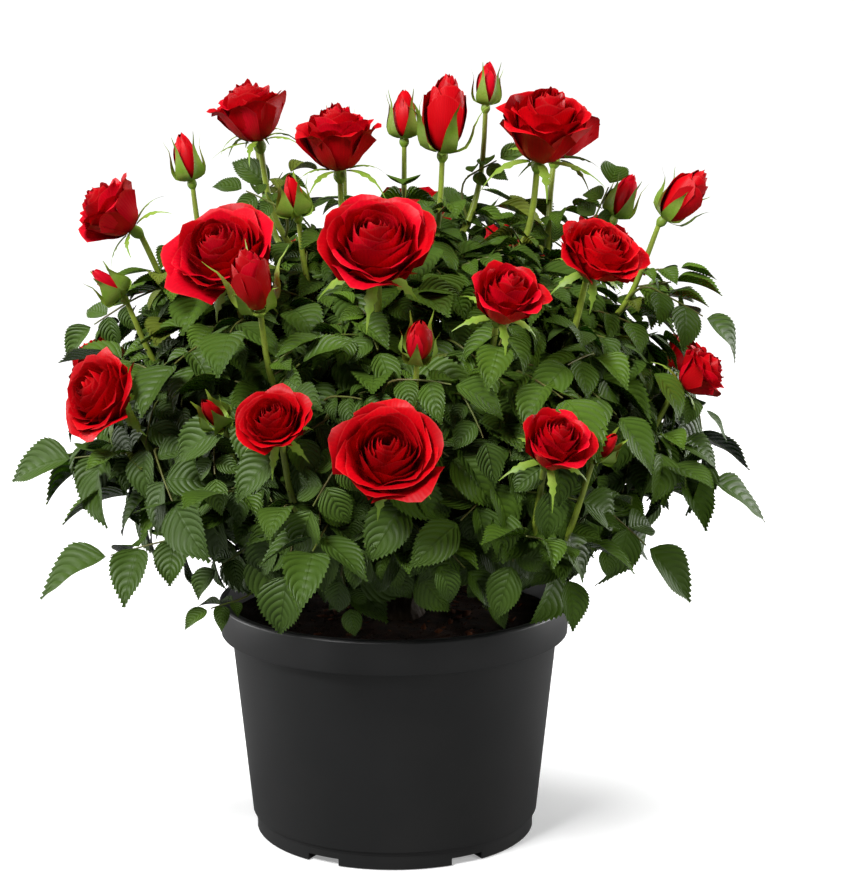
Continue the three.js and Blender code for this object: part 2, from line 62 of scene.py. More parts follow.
# Pot and soil, in millimetres
POT_SIDES = 144
POT_HEIGHT = 155
RIM_RADIUS = 115
LIP_WIDTH = 5
LIP_ROUND = 1.4
COLLAR_HEIGHT = 22
COLLAR_TAPER = 1.2
WALL_TOP_RADIUS = 107
WALL_FOOT_RADIUS = 94.5
FOOT_RADIUS = 92
FOOT_HEIGHT = 12
FOOT_RING_WIDTH = 12
WALL = 2.2
BASE_LIFT = 6
BASE_THICK = 3
DRAINS = 6
DRAIN_WIDTH = 22
DRAIN_HEIGHT = 4.5
SOIL_EDGE_HEIGHT = 140
SOIL_HEIGHT = 143
SOIL_RISE = SOIL_HEIGHT - SOIL_EDGE_HEIGHT
SOIL_RINGS = 24
SOIL_GAP = 0.4  # between the peat and the pot's wall
SOIL_LIFT = 0.3  # between the peat and the pot's floor
STOCK_HEIGHT = 24
STOCK_HEART = 0.1  # nearer to the axis than this the wood has no outer side, and it isn't moved
# Radius of the stock and share of its height
STOCK_RINGS = ((21, 0), (16.5, 0.25), (15, 0.5), (17, 0.72), (11, 0.92))

# Crown: the leafy shell is an ellipsoid, and every mass fans out from the hub between two azimuths
# and two elevations, in degrees
HUB = Vector((0, 0, 190))
HOLLOW = 70  # radius of the leafless space round the hub
CROWN_CENTRE = Vector((0, 0, 265))
CROWN_AXES = Vector((178, 172, 172))
REACH = Vector((242, 232, 501))  # furthest tips: half width, half depth, height
LOWEST_LEAF = 161  # no leaf hangs lower
LOWEST_SPOT = 182  # height of the shells' lowest leaves
MASSES = {
    "top": (0, 360, 64.5, 90),
    "upper_front_left": (204, 283, 38, 64.5),
    "upper_front_right": (283, 345, 38, 64.5),
    "upper_right": (345, 420, 38, 64.5),
    "upper_back": (60, 132, 38, 64.5),
    "upper_left": (132, 204, 38, 64.5),
    "lower_left": (172, 228, -20, 38),
    "lower_front": (228, 283, -20, 38),
    "lower_front_right": (283, 363, -20, 38),
    "lower_back_right": (3, 60, -20, 38),
    "lower_back": (60, 116, -20, 38),
    "lower_back_left": (116, 172, -20, 38),
}
LOW_STEM = 13  # elevation of the stems of the lower masses
# Canes by tier: distance of the foot from the stock's axis, its share of the stock's height, steepness
CANE_TIERS = {"low": (13, 0.55, 38), "middle": (9, 0.8, 74), "top": (0, 0.8, 74)}
CANE_RISE = 24  # how far a cane heads straight away from the stock
CANE_BEND = 22  # how far it heads straight into its stem
CANE_STEPS = 22
STEM_STEPS = 8
STEM_SHARE = 0.62  # how far a stem reaches towards the shell
STEM_PERCHES = (0.3, 0.44, 0.58, 0.72, 0.86, 0.97)  # shares of a stem where shoots and twigs spring
SHOOT_RISE = 70  # how far under that place a flower's shoot springs
SHOOT_STEPS = 14
TWIG_STEPS = 6
TWIG_DEPTH = 42  # how far in from a leaf its twig springs
TWIG_RADII = (0.95, 0.65)
RACHIS_RADII = (0.75, 0.5)

# Leafy shells from the inside out: half width, depth and height, number of leaves and first seed
SHELLS = (
    (98, 96, 84, 44, 912),
    (134, 130, 112, 115, 612),
    (164, 158, 132, 195, 312),
    (188, 180, 146, 265, 2012),
    (208, 200, 160, 150, 1512),
)
SHELL_CENTRE = 262
SHELL_WAIST = 0.3  # how much narrower the shells are at their lowest leaves
LOOSE_SHELL = 200  # half width from which a shell is thin at the top
LOOSE_HEIGHT = 0.5  # share of the half height above which it is thin
LOOSE_GAPS = 0.6  # share of its leaves that are missing there
LEAF_SWING = 75  # how far leaves turn aside at random, in degrees
LEAF_SWINGS = (0, 35, -35, 75, -75, 120, -120)  # further turns that a leaf without room tries
LEAF_INSET = 12  # how far a leaf's foot lies inside its shell
# Places along a flower's shoot where leaves stand, and their lengths as shares of a full leaf
SHOOT_LEAVES = ((0.3, 0.8), (0.4, 0.76), (0.5, 0.66), (0.6, 0.58), (0.7, 0.46))
STEM_DROP = 34  # how far under its hip a flower's stem straightens
HIP_RADIUS = 2.6
HIP_SHARE = 0.03  # how a hip grows with its flower's width

# For each pair of leaflets and for the last one: place along the leaf, length and width as shares
# of the leaf's length, and spread in degrees
FIVE_LEAFLETS = ((0.04, 0.32, 0.23, 70), (0.28, 0.41, 0.29, 64), (0.48, 0.52, 0.36, 0))
THREE_LEAFLETS = ((0.14, 0.46, 0.32, 66), (0.42, 0.58, 0.4, 0))

# Flowers: kind, place of the middle, width, lean from upright and the azimuth it leans to
FLOWERS = (
    ("half", (-91, 10, 472), 52, 14, 200),
    ("half", (-35, -25, 457), 55, 10, 250),
    ("bud", (-132, 12, 438), 20, 12, 180),
    ("bud", (7, 10, 465), 20, 5, 90),
    ("half", (33, 0, 466), 36, 8, 300),
    ("bud", (61, 40, 484), 18, 5, 40),
    ("open", (96, -8, 464), 64, 22, 290),
    ("bud", (149, 30, 412), 20, 25, 20),
    ("bud", (183, -10, 416), 28, 40, 350),
    ("open", (125, -90, 392), 56, 38, 300),
    ("half", (-177, -40, 412), 48, 50, 195),
    ("open", (-103, -98, 393), 70, 42, 250),
    ("bud", (-81, -150, 378), 30, 30, 250),
    ("open", (-10, -146, 403), 72, 42, 268),
    ("half", (65, -152, 372), 46, 38, 290),
    ("bud", (-174, -60, 366), 16, 45, 200),
    ("bud", (-60, -72, 420), 17, 20, 240),
    ("open", (-178, -112, 308), 58, 62, 222),
    ("open", (-68, -190, 306), 46, 45, 255),
    ("open", (-4, -194, 288), 66, 52, 270),
    ("bud", (14, -176, 346), 20, 40, 275),
    ("half", (92, -185, 292), 44, 42, 290),
    ("bud", (121, -166, 284), 14, 45, 310),
    ("half", (192, -60, 312), 38, 55, 345),
    ("bud", (-104, -154, 302), 15, 45, 236),
    ("open", (113, 80, 458), 54, 25, 60),
    ("half", (-97, 72, 470), 42, 18, 150),
    ("open", (148, 84, 378), 62, 45, 30),
    ("open", (-117, 84, 376), 58, 45, 150),
    ("open", (14, 148, 392), 70, 42, 88),
    ("half", (-84, 160, 288), 50, 45, 115),
    ("open", (88, 164, 368), 56, 50, 62),
    ("half", (200, 66, 300), 44, 60, 15),
    ("half", (-201, 52, 302), 44, 60, 165),
    ("open", (26, 196, 282), 62, 55, 88),
    ("open", (-146, 140, 280), 54, 60, 138),
    ("half", (150, 144, 262), 42, 60, 40),
    ("bud", (-36, 104, 452), 20, 20, 110),
    ("bud", (-20, 176, 352), 20, 40, 95),
    ("bud", (-72, 158, 368), 18, 40, 105),
    ("bud", (170, 112, 250), 16, 45, 35),
)
GREEN_BUD_WIDTH = 17  # buds up to this width are still shut in their sepals
GREEN_COVER = 2.1  # how much wider their sepals are
OPENING_WIDTH = 28  # buds from this width on unfold
CUPPED_LEAN = 30  # open blooms that lean less are cupped
STRAIGHT_LEAN = 9  # half blooms that lean less have only begun to open

# Leaves that stand out past the shells: foot, tip and the way the upper side faces
OUTER_LEAVES = (
    ((-155, -60, 263), (-241, -60, 257), (-0.2, -0.6, 0.8)),
    ((-130, -104, 218), (-212, -112, 200), (-0.2, -0.5, 0.9)),
    ((165, -20, 359), (228, -20, 327), (0.5, -0.4, 0.8)),
    ((160, -46, 250), (241, -40, 232), (0, -0.5, 0.85)),
    ((126, -90, 235), (184, -92, 185), (0.3, -0.6, 0.7)),
    ((-56, -150, 246), (-68, -172, 177), (-0.1, -0.9, 0.45)),
    ((77, -140, 240), (62, -165, 189), (0.05, -0.85, 0.5)),
    ((-98, -84, 173), (-127, -104, 170), (-0.2, -0.5, 0.8)),
    ((149, -50, 268), (207, -50, 262), (0.1, -0.7, 0.7)),
    ((-9, -160, 248), (-25, -182, 210), (-0.1, -0.85, 0.5)),
    ((96, -120, 223), (111, -142, 178), (0.3, -0.8, 0.5)),
    ((14, -160, 235), (35, -178, 202), (0.2, -0.85, 0.5)),
    ((-77, -140, 263), (-123, -150, 246), (-0.1, -0.7, 0.7)),
    ((-87, -110, 214), (-123, -124, 192), (-0.3, -0.6, 0.7)),
    ((-171, 6, 348), (-214, 0, 322), (-0.2, -0.7, 0.7)),
    ((-31, -105, 192), (-24, -125, 166), (0, -0.9, 0.4)),
    ((120, -95, 226), (132, -108, 198), (0.3, -0.8, 0.5)),
    ((53, -98, 202), (64, -118, 170), (0, -0.9, 0.4)),
    ((-75, -10, 412), (-110, -10, 430), (-0.3, -0.6, 0.8)),
    ((50, 30, 428), (83, 30, 447), (0.2, -0.6, 0.8)),
    ((164, 60, 262), (241, 62, 246), (0.1, 0.4, 0.9)),
    ((-160, 70, 240), (-241, 66, 226), (-0.1, 0.5, 0.8)),
    ((60, 158, 236), (64, 231, 212), (0, 0.7, 0.7)),
    ((-40, 156, 230), (-44, 231, 206), (0, 0.7, 0.7)),
    ((-38, -152, 238), (-54, -230, 224), (0, -0.5, 0.9)),
    ((60, 120, 226), (52, 168, 182), (0, 0.8, 0.5)),
    ((-70, 112, 222), (-84, 158, 180), (-0.2, 0.8, 0.5)),
    ((8, 60, 392), (54, 66, 412), (0, -0.8, 0.6)),
    ((64, 60, 390), (28, 70, 418), (0, -0.8, 0.6)),
    ((66, 92, 370), (112, 96, 390), (0, -0.8, 0.6)),
    ((120, 80, 372), (82, 90, 400), (0, -0.8, 0.6)),
    ((130, 20, 400), (150, 40, 440), (0.2, -0.7, 0.7)),
    ((-60, 40, 400), (-98, 40, 438), (-0.2, -0.7, 0.7)),
)

# How each kind of flower is built, in flower widths: number of petals, heights of the petals' roots,
# of the heart and of the outer rim, radii of the belly and of the tips from heart to rim, how far the
# rims roll back, and how far the sepals turn from upright at their roots and at their tips
KINDS = {
    "open": (38, -0.34, 0.2, 0.06, (0.1, 0.36), (0.03, 0.49), 1.2, (96, 150)),
    "half": (28, -0.42, 0.32, 0.14, (0.12, 0.33), (0.025, 0.49), 1.35, (74, 140)),
    "opening": (15, -0.6, 0.78, 0.44, (0.2, 0.42), (0.02, 0.33), 0.9, (50, 110)),
    "bud": (9, -0.6, 0.93, 0.62, (0.34, 0.46), (0.02, 0.13), 0.25, (28, 8)),
}

# First seeds of the draws for each kind of growth
FLOWER_SEED = 5000
PETAL_SEED = 8000
SEPAL_SEED = 11000
PRICKLE_SEED = 700
CRUMB_SEED = 21000
CHIP_SEED = 43000


class PotSizes(bpy.types.PropertyGroup):
    """Sizes and finish of the pot and its soil"""

    edge_round: bpy.props.FloatProperty(
        name="Edge Round", description="Width of the rounding along the moulded edges",
        default=0.7 * MM, unit="LENGTH",
    )
    plastic_colour: bpy.props.FloatVectorProperty(
        name="Plastic Colour", description="Colour of the moulded pot",
        default=(0.009, 0.0093, 0.0096), size=3, subtype="COLOR",
    )
    peat_colour: bpy.props.FloatVectorProperty(
        name="Peat Colour", description="Colour of the moist peat",
        default=(0.02, 0.0125, 0.009), size=3, subtype="COLOR",
    )
    crumbs: bpy.props.IntProperty(
        name="Crumbs", description="Number of peat crumbs on the soil", default=1500,
    )
    chips: bpy.props.IntProperty(
        name="Bark Chips", description="Number of bark chips on the soil", default=150,
    )


class GrowthSizes(bpy.types.PropertyGroup):
    """Sizes and colours of the canes, twigs and leaves"""

    leaf_length: bpy.props.FloatProperty(
        name="Leaf Length", description="Length of a full leaf from its lowest leaflets to its tip",
        default=92 * MM, unit="LENGTH",
    )
    cane_radius: bpy.props.FloatProperty(
        name="Cane Radius", description="Radius of a cane where it leaves the stock",
        default=3.4 * MM, unit="LENGTH",
    )
    leaf_colour: bpy.props.FloatVectorProperty(
        name="Leaf Colour", description="Colour of a full-grown leaf's upper side",
        default=(0.0125, 0.044, 0.0004), size=3, subtype="COLOR",
    )
    young_colour: bpy.props.FloatVectorProperty(
        name="Young Leaf Colour", description="Colour of the lightest leaves",
        default=(0.13, 0.26, 0.004), size=3, subtype="COLOR",
    )
    stem_colour: bpy.props.FloatVectorProperty(
        name="Stem Colour", description="Colour of the flower stems",
        default=(0.27, 0.37, 0.035), size=3, subtype="COLOR",
    )
    twig_colour: bpy.props.FloatVectorProperty(
        name="Twig Colour", description="Colour of the twigs and leaf stalks",
        default=(0.13, 0.17, 0.03), size=3, subtype="COLOR",
    )


class FlowerSizes(bpy.types.PropertyGroup):
    """Sizes and colours of the blooms"""

    petal_colour: bpy.props.FloatVectorProperty(
        name="Petal Colour", description="Colour of a fresh petal",
        default=(0.64, 0.001, 0.006), size=3, subtype="COLOR",
    )
    sepal_colour: bpy.props.FloatVectorProperty(
        name="Sepal Colour", description="Colour of the sepals and hips",
        default=(0.17, 0.31, 0.02), size=3, subtype="COLOR",
    )


class StageSizes(bpy.types.PropertyGroup):
    """The floor, lights and camera"""

    distance: bpy.props.FloatProperty(
        name="Camera Distance", description="From the pot's axis to the camera, along the ground",
        default=1.4067, unit="LENGTH",
    )
    height: bpy.props.FloatProperty(
        name="Camera Height", description="Height of the camera above the floor",
        default=0.5141, unit="LENGTH",
    )
    pitch: bpy.props.FloatProperty(
        name="Camera Pitch", description="How far the camera looks down",
        default=math.radians(10.5), subtype="ANGLE",
    )
    yaw: bpy.props.FloatProperty(
        name="Camera Yaw", description="How far the camera looks to the right of the pot",
        default=math.radians(0.885), subtype="ANGLE",
    )
    lens: bpy.props.FloatProperty(
        name="Lens", description="Focal length on a 36 mm sensor, in millimetres", default=88.4,
    )
    key_power: bpy.props.FloatProperty(
        name="Key Power", description="Power of the key light, in watts", default=74.0,
    )
    floor_glow: bpy.props.FloatProperty(
        name="Floor Glow", description="How much light the floor near the pot gives to the camera",
        default=0.3,
    )
    floor_colour: bpy.props.FloatVectorProperty(
        name="Floor Colour", description="Colour of the floor",
        default=(0.86, 0.86, 0.86), size=3, subtype="COLOR",
    )


# Meshes made from arrays


def join_mesh(name, parts, mapped=False):
    """One object from parts of (corners, faces, face corner map places), in millimetres."""
    corners, loops, starts, places = [], [], [], []
    first_corner, first_loop = 0, 0
    for points, faces, uv in parts:
        corners.append(points)
        loops.append((faces + first_corner).ravel())
        starts.append(first_loop + np.arange(len(faces)) * faces.shape[1])
        if mapped:
            places.append(uv.reshape(-1, 2))
        first_loop += faces.size
        first_corner += len(points)
    mesh = bpy.data.meshes.new(name)
    mesh.vertices.add(first_corner)
    mesh.vertices.foreach_set("co", (np.concatenate(corners) * MM).astype(np.float32).ravel())
    mesh.loops.add(first_loop)
    mesh.loops.foreach_set("vertex_index", np.concatenate(loops).astype(np.int32))
    starts = np.concatenate(starts).astype(np.int32)
    mesh.polygons.add(len(starts))
    mesh.polygons.foreach_set("loop_start", starts)
    if mapped:
        layer = mesh.uv_layers.new(name=LEAF_MAP)
        layer.data.foreach_set("uv", np.concatenate(places).astype(np.float32).ravel())
    mesh.update(calc_edges=True)
    mesh.shade_smooth()
    piece = bpy.data.objects.new(name, mesh)
    bpy.context.collection.objects.link(piece)
    return piece


def grid_faces(rows, columns):
    """Quads of a grid of corners numbered row by row."""
    row, column = np.mgrid[0 : rows - 1, 0 : columns - 1]
    start = (row * columns + column).ravel()
    return np.stack([start, start + 1, start + columns + 1, start + columns], axis=1)


def repeat_faces(faces, copies, corners):
    """The faces of several copies of one shape, each with that many corners."""
    shift = (np.arange(copies) * corners)[:, None, None]
    return (faces[None] + shift).reshape(-1, faces.shape[1])


def corner_rows(points):
    """An array with a row for each vector."""
    return np.array([tuple(point) for point in points])


def thinning(first, last, count):
    """Even steps from a first to a last value."""
    return [first + (last - first) * i / (count - 1) for i in range(count)]


def across_of(way):
    """A direction square to a way."""
    side = way.cross(UP)
    return side.normalized() if side.length > 0.05 else way.cross(Vector((1, 0, 0))).normalized()


def tube(points, radii, sides, relief=0.0):
    """A closed limb along points, with its ends rounded off to a point."""
    count = len(points)
    rings = []
    side = across_of(points[1] - points[0])
    for i, point in enumerate(points):
        way = (points[min(i + 1, count - 1)] - points[max(i - 1, 0)]).normalized()
        side = (side - way * side.dot(way)).normalized()
        up = way.cross(side)
        for k in range(sides):
            turn = math.tau * k / sides
            out = side * math.cos(turn) + up * math.sin(turn)
            radius = radii[i]
            if relief:
                radius *= 1 + relief * noise.noise((point + out * radius) * 0.22)
            rings.append(point + out * radius)
    first = points[0] - (points[1] - points[0]).normalized() * radii[0] * 0.5
    last = points[-1] + (points[-1] - points[-2]).normalized() * radii[-1] * 0.5
    corners = corner_rows([*rings, first, last])
    ring = np.arange(sides)
    after = (ring + 1) % sides
    row = np.arange(count - 1)[:, None] * sides
    quads = np.stack([row + ring, row + after, row + after + sides, row + ring + sides], axis=-1)
    foot = np.full(sides, count * sides)
    far = (count - 1) * sides
    caps = np.concatenate(
        [np.stack([foot, after, ring], axis=1), np.stack([foot + 1, ring + far, after + far], axis=1)]
    )
    quads = quads.reshape(-1, 4)
    return [(corners, quads, None), (corners, caps, None)]


def limb_piece(name, limbs, sides, relief=0.0):
    """One object from limbs of (points, radii of the foot and the tip)."""
    parts = []
    for points, (first, last) in limbs:
        parts += tube(points, thinning(first, last, len(points)), sides, relief)
    return join_mesh(name, parts)


def smooth_step(share):
    """A share from 0 to 1 that starts and ends gently."""
    return share * share * (3 - 2 * share)


# Growth: the rule that the solids follow, carried on to real leaves


def random_from(seed):
    """Mulberry32: the same numbers from the same seed, from 0 to 1."""
    state = seed & 0xFFFFFFFF

    def draw():
        nonlocal state
        state = (state + 0x6D2B79F5) & 0xFFFFFFFF
        mixed = ((state ^ (state >> 15)) * (1 | state)) & 0xFFFFFFFF
        mixed = ((mixed + (((mixed ^ (mixed >> 7)) * (61 | mixed)) & 0xFFFFFFFF)) & 0xFFFFFFFF) ^ mixed
        return ((mixed ^ (mixed >> 14)) & 0xFFFFFFFF) / 4294967296

    return draw


def direction(azimuth, elevation):
    """The way that points to an azimuth and an elevation in degrees."""
    flat = math.cos(math.radians(elevation))
    turn = math.radians(azimuth)
    return Vector((flat * math.cos(turn), flat * math.sin(turn), math.sin(math.radians(elevation))))


def flat_part(vector, normal):
    """The way of a vector once it is laid flat on the plane square to a normal."""
    return (vector - normal * vector.dot(normal)).normalized()


def divided(vector, by):
    """A vector with each of its parts divided by another's."""
    return Vector(a / b for a, b in zip(vector, by))


def multiplied(vector, by):
    """A vector with each of its parts multiplied by another's."""
    return Vector(a * b for a, b in zip(vector, by))


class Mass:
    """One leafy mass: its space between two azimuths and two elevations, and the perches grown in it."""

    def __init__(self, start, end, low, high):
        self.start, self.end, self.low, self.high = start, end, low, high
        self.azimuth = (self.start + self.end) / 2
        self.elevation = (self.low + self.high) / 2
        if self.high == 90:
            self.elevation = 90
        if self.low < 0:
            self.elevation = LOW_STEM
        self.heading = direction(self.azimuth, self.elevation)
        self.perches = []

    def clearance(self, point):
        """Distance from a point to the nearest edge of the mass's space, negative outside it."""
        ray = point - HUB
        flat = math.hypot(ray.x, ray.y)
        elevation = math.atan2(ray.z, flat)
        above = ray.length * math.sin(elevation - math.radians(self.low))
        if self.high == 90:
            return above
        half = math.radians((self.end - self.start) / 2)
        turn = math.atan2(ray.y, ray.x) - math.radians(self.azimuth)
        off = abs(math.atan2(math.sin(turn), math.cos(turn)))
        beside = flat * math.sin(half - off)
        below = ray.length * math.sin(math.radians(self.high) - elevation)
        return min(above, below, beside)

    def nearest_perch(self, point):
        """The place nearest to a point where a new shoot or twig can spring."""
        return min(self.perches, key=lambda perch: (perch - point).length_squared)

    def cane_points(self):
        """The cane from the stock to the hub's edge, and its stem on into the mass."""
        tier = "low" if self.elevation < 30 else "top" if self.elevation > 60 else "middle"
        out, share, slope = CANE_TIERS[tier]
        foot = direction(self.azimuth, 0) * out
        foot.z = SOIL_HEIGHT + STOCK_HEIGHT * share
        tip = HUB + self.heading * HOLLOW
        rise = foot + direction(self.azimuth, slope) * CANE_RISE
        bend = tip - self.heading * CANE_BEND
        cane = [bezier((foot, rise, bend, tip), i / CANE_STEPS) for i in range(CANE_STEPS + 1)]
        end = HUB + self.heading * shell_distance(self.heading) * STEM_SHARE
        return cane + [tip.lerp(end, (i + 1) / STEM_STEPS) for i in range(STEM_STEPS)]


def bezier(points, share):
    """A place on a Bezier curve of any degree."""
    while len(points) > 1:
        points = [a.lerp(b, share) for a, b in zip(points, points[1:])]
    return points[0]


def shell_distance(heading):
    """Distance from the hub to the leafy shell."""
    start = divided(HUB - CROWN_CENTRE, CROWN_AXES)
    way = divided(heading, CROWN_AXES)
    a, b, c = way.length_squared, start.dot(way), start.length_squared - 1
    return (-b + math.sqrt(b * b - a * c)) / a


def leaf_spots(wide, deep, tall, count, seed):
    """Spots spread evenly over a shell, each with its outward normal and a leaf's way across it."""
    axes = Vector((wide, deep, tall))
    lowest = (LOWEST_SPOT - SHELL_CENTRE) / tall
    spots = []
    for i in range(count):
        draw = random_from(seed + i)
        height = 1 - ((i + 0.5) / count) * (1 - lowest)
        flat = math.sqrt(1 - height * height)
        turn = i * GOLDEN_ANGLE + (draw() - 0.5) * 0.3
        if wide > LOOSE_SHELL and height > LOOSE_HEIGHT and draw() < LOOSE_GAPS:
            continue
        waist = 1 - SHELL_WAIST * max(0, height / lowest) ** 2
        unit = Vector((flat * math.cos(turn), flat * math.sin(turn), height))
        middle = multiplied(unit, axes) * (0.94 + 0.12 * draw())
        middle = Vector((middle.x * waist, middle.y * waist, middle.z + SHELL_CENTRE))
        normal = divided(unit, axes).normalized()
        outward = Vector((0.8 * math.cos(turn), 0.8 * math.sin(turn), -0.9))
        way = flat_part(outward, normal)
        way.rotate(Quaternion(normal, math.radians(LEAF_SWING) * (2 * draw() - 1)))
        spots.append((middle, normal, way, draw))
    return spots


def is_free(point):
    """Whether a point is inside the plant's reach, above the pot and clear of the blooms."""
    if abs(point.x) > REACH.x or abs(point.y) > REACH.y or not LOWEST_LEAF < point.z < REACH.z:
        return False
    return all((point - middle).length > size for middle, size in kept_clear())


def hip_of(kind, middle, width, axis):
    """The foot and the radius of the round hip under a flower."""
    radius = HIP_RADIUS + HIP_SHARE * width
    return middle + axis * (width * KINDS[kind][1] - radius * 2.1), radius


def stem_route(kind, middle, width, axis):
    """Where a flower's stem ends in its hip, and the place below that it comes up through."""
    foot, radius = hip_of(kind, middle, width, axis)
    return foot + axis * radius * 0.4, foot - (axis + UP).normalized() * STEM_DROP


@functools.lru_cache(maxsize=None)
def kept_clear():
    """The spheres that leaves stay out of: every bloom, and the top of its stem seen from outside."""
    spheres = []
    for kind, middle, width, axis in grown_flowers():
        foot, low = stem_route(kind, middle, width, axis)
        out = Vector((middle.x, middle.y, 0)).normalized() * 16
        spheres += [(middle, width * 0.5), (foot, 10), (foot.lerp(low, 0.6), 12), (low + out, 13)]
    return tuple(spheres)


def open_kind(kind, width, lean):
    """The kind a flower is built as, by how wide it is and how far it leans."""
    if (kind == "bud" and width >= OPENING_WIDTH) or (kind == "half" and lean < STRAIGHT_LEAN):
        return "opening"
    return "half" if kind == "open" and lean < CUPPED_LEAN else kind


@functools.lru_cache(maxsize=None)
def grown_flowers():
    """The kind, middle, width and axis of each flower."""
    return tuple(
        (open_kind(kind, width, lean), Vector(middle), width, direction(azimuth, 90 - lean))
        for kind, middle, width, lean, azimuth in FLOWERS
    )


class Plant:
    """Everything that has grown: shoots and twigs as limbs of (points, radii), and leaves by place."""

    def __init__(self, leaf_length):
        self.leaf_length = leaf_length
        self.masses = [Mass(*span) for span in MASSES.values()]
        self.shoots = []
        self.twigs = []
        self.leaves = []
        for mass in self.masses:
            stem = mass.cane_points()[-STEM_STEPS - 1 :]
            mass.perches = [bezier(stem[:1] + stem[-1:], share) for share in STEM_PERCHES]
            mass.perches += [stem[0] - mass.heading * 10 * i for i in range(3)]
        for number, flower in enumerate(grown_flowers()):
            self.grow_flower(flower, random_from(FLOWER_SEED + number))
        for row in OUTER_LEAVES:
            self.grow_outer_leaf(*[Vector(value) for value in row])
        for shell in SHELLS:
            for spot in leaf_spots(*shell):
                self.grow_spot_leaf(*spot)

    def mass_at(self, point):
        """The mass whose space a point is in, or is nearest to."""
        return max(self.masses, key=lambda mass: mass.clearance(point))

    def grow_flower(self, flower, draw):
        """A shoot from the nearest perch to the flower's hip, with a few leaves up its length."""
        kind, middle, width, axis = flower
        mass = self.mass_at(middle)
        foot, low = stem_route(kind, middle, width, axis)
        rise = low - (axis * 0.4 + UP).normalized() * SHOOT_RISE
        perch = mass.nearest_perch(rise)
        route = (perch, rise.lerp(low, 0.4), low, foot)
        path = [bezier(route, i / SHOOT_STEPS) for i in range(SHOOT_STEPS + 1)]
        self.shoots.append((path, (2.3, 1.4 + width * 0.01)))
        mass.perches += path[3:9:2]
        for number, (share, size) in enumerate(SHOOT_LEAVES):
            start = bezier(route, share)
            turn = draw() * math.tau
            out = Vector((math.cos(turn + number * 2.4), math.sin(turn + number * 2.4), 0.35))
            out = (out + direction(math.degrees(math.atan2(middle.y, middle.x)), 0) * 0.7).normalized()
            size *= 0.85 + 0.3 * draw()
            self.try_leaf(start, start, out, (UP + out * 0.2).normalized(), size, draw, upper=True)

    def grow_outer_leaf(self, foot, tip, face):
        """A leaf at a place of its own, on a twig from the nearest perch."""
        mass = self.mass_at(foot)
        way = (tip - foot).normalized()
        draw = random_from(int(abs(foot.x * 7 + foot.y * 3 + foot.z)))
        perch = mass.nearest_perch(foot - way * 30)
        self.put_leaf(perch, foot, way, face.normalized(), (tip - foot).length * 1.06, draw, firm=0.3)

    def grow_spot_leaf(self, middle, normal, way, draw):
        """A leaf at a spot of a shell, tried in three sizes and every way round until it has room."""
        mass = self.mass_at(middle)
        face = (normal * (0.7 + 0.6 * draw()) + UP * (0.3 + 0.8 * draw())).normalized()
        lift = 0.8 * draw() - 0.15
        for size in (0.46 + 0.42 * draw(), 0.56, 0.42):
            length = size * self.leaf_length
            for swing in LEAF_SWINGS:
                turned = way.copy()
                turned.rotate(Quaternion(normal, math.radians(swing)))
                foot = middle - turned * 0.5 * length - normal * LEAF_INSET
                perch = mass.nearest_perch(foot - normal * TWIG_DEPTH)
                turned = (turned + normal * lift + (foot - perch).normalized() * 0.45).normalized()
                foot = middle - turned * 0.5 * length - normal * LEAF_INSET
                if self.try_leaf(perch, foot, turned, face, size, draw):
                    mass.perches += [perch.lerp(foot, 0.5)]
                    return

    def try_leaf(self, perch, foot, way, face, size, draw, upper=False):
        """Puts a leaf down where its middle, its tip and its sides are free, and says whether it did."""
        length = size * self.leaf_length
        face = flat_part(face, way)
        side = face.cross(way)
        half = way * length * 0.4
        wide = side * length * 0.34
        probes = (foot + way * length, foot + half + wide, foot + half - wide)
        if not all(is_free(point) for point in probes) or not is_free(foot + way * length * 0.7):
            return False
        self.put_leaf(perch, foot, way, face, length, draw, upper)
        return True

    def put_leaf(self, perch, foot, way, face, length, draw, upper=False, firm=1.0):
        """Lays down a leaf, and the twig that carries it from a perch that isn't at its foot."""
        if (foot - perch).length > 3:
            bend = foot - way * (foot - perch).length * 0.4
            path = [bezier((perch, bend, foot), i / TWIG_STEPS) for i in range(TWIG_STEPS + 1)]
            self.twigs.append((path, TWIG_RADII))
        leaflets = THREE_LEAFLETS if upper and draw() < 0.5 else FIVE_LEAFLETS
        self.leaves.append((foot, way, flat_part(face, way), length, leaflets, upper, firm, draw))


@functools.lru_cache(maxsize=None)
def grown_plant():
    """The plant, grown once for all its pieces."""
    return Plant(bpy.context.scene.rose_growth.leaf_length / MM)


# Leaves

LEAFLET_STATIONS = 16
LEAFLET_COLUMNS = 5
HIDDEN_COLUMNS = 3  # leaflets deep inside the plant are only folded along the midrib
# Share of a leaflet's length and its half width there, as a share of the widest
LEAFLET_OUTLINE = (
    (0, 0.03), (0.05, 0.4), (0.12, 0.7), (0.2, 0.89), (0.3, 1), (0.4, 0.99), (0.5, 0.92),
    (0.6, 0.79), (0.7, 0.61), (0.8, 0.38), (0.88, 0.19), (0.94, 0.08), (1, 0.01),
)
# Each leaflet has one of eight tints, a cell of its map: how far each tint is from the leaf colour
# towards the young colour, and how many cells stand side by side and above each other
LEAF_TINTS = (-0.05, 0, 0.03, 0.07, 0.14, 0.26, 0.44, 0.75)
TINTS_ACROSS = 4
TINTS_DOWN = 2
LEAF_PIECES = ("leaves_inner", "leaves_middle", "leaves_outer", "leaves_fringe")


def leaflet_width(along):
    """Half width of a leaflet's outline at a share of its length."""
    return np.interp(along, *zip(*LEAFLET_OUTLINE))


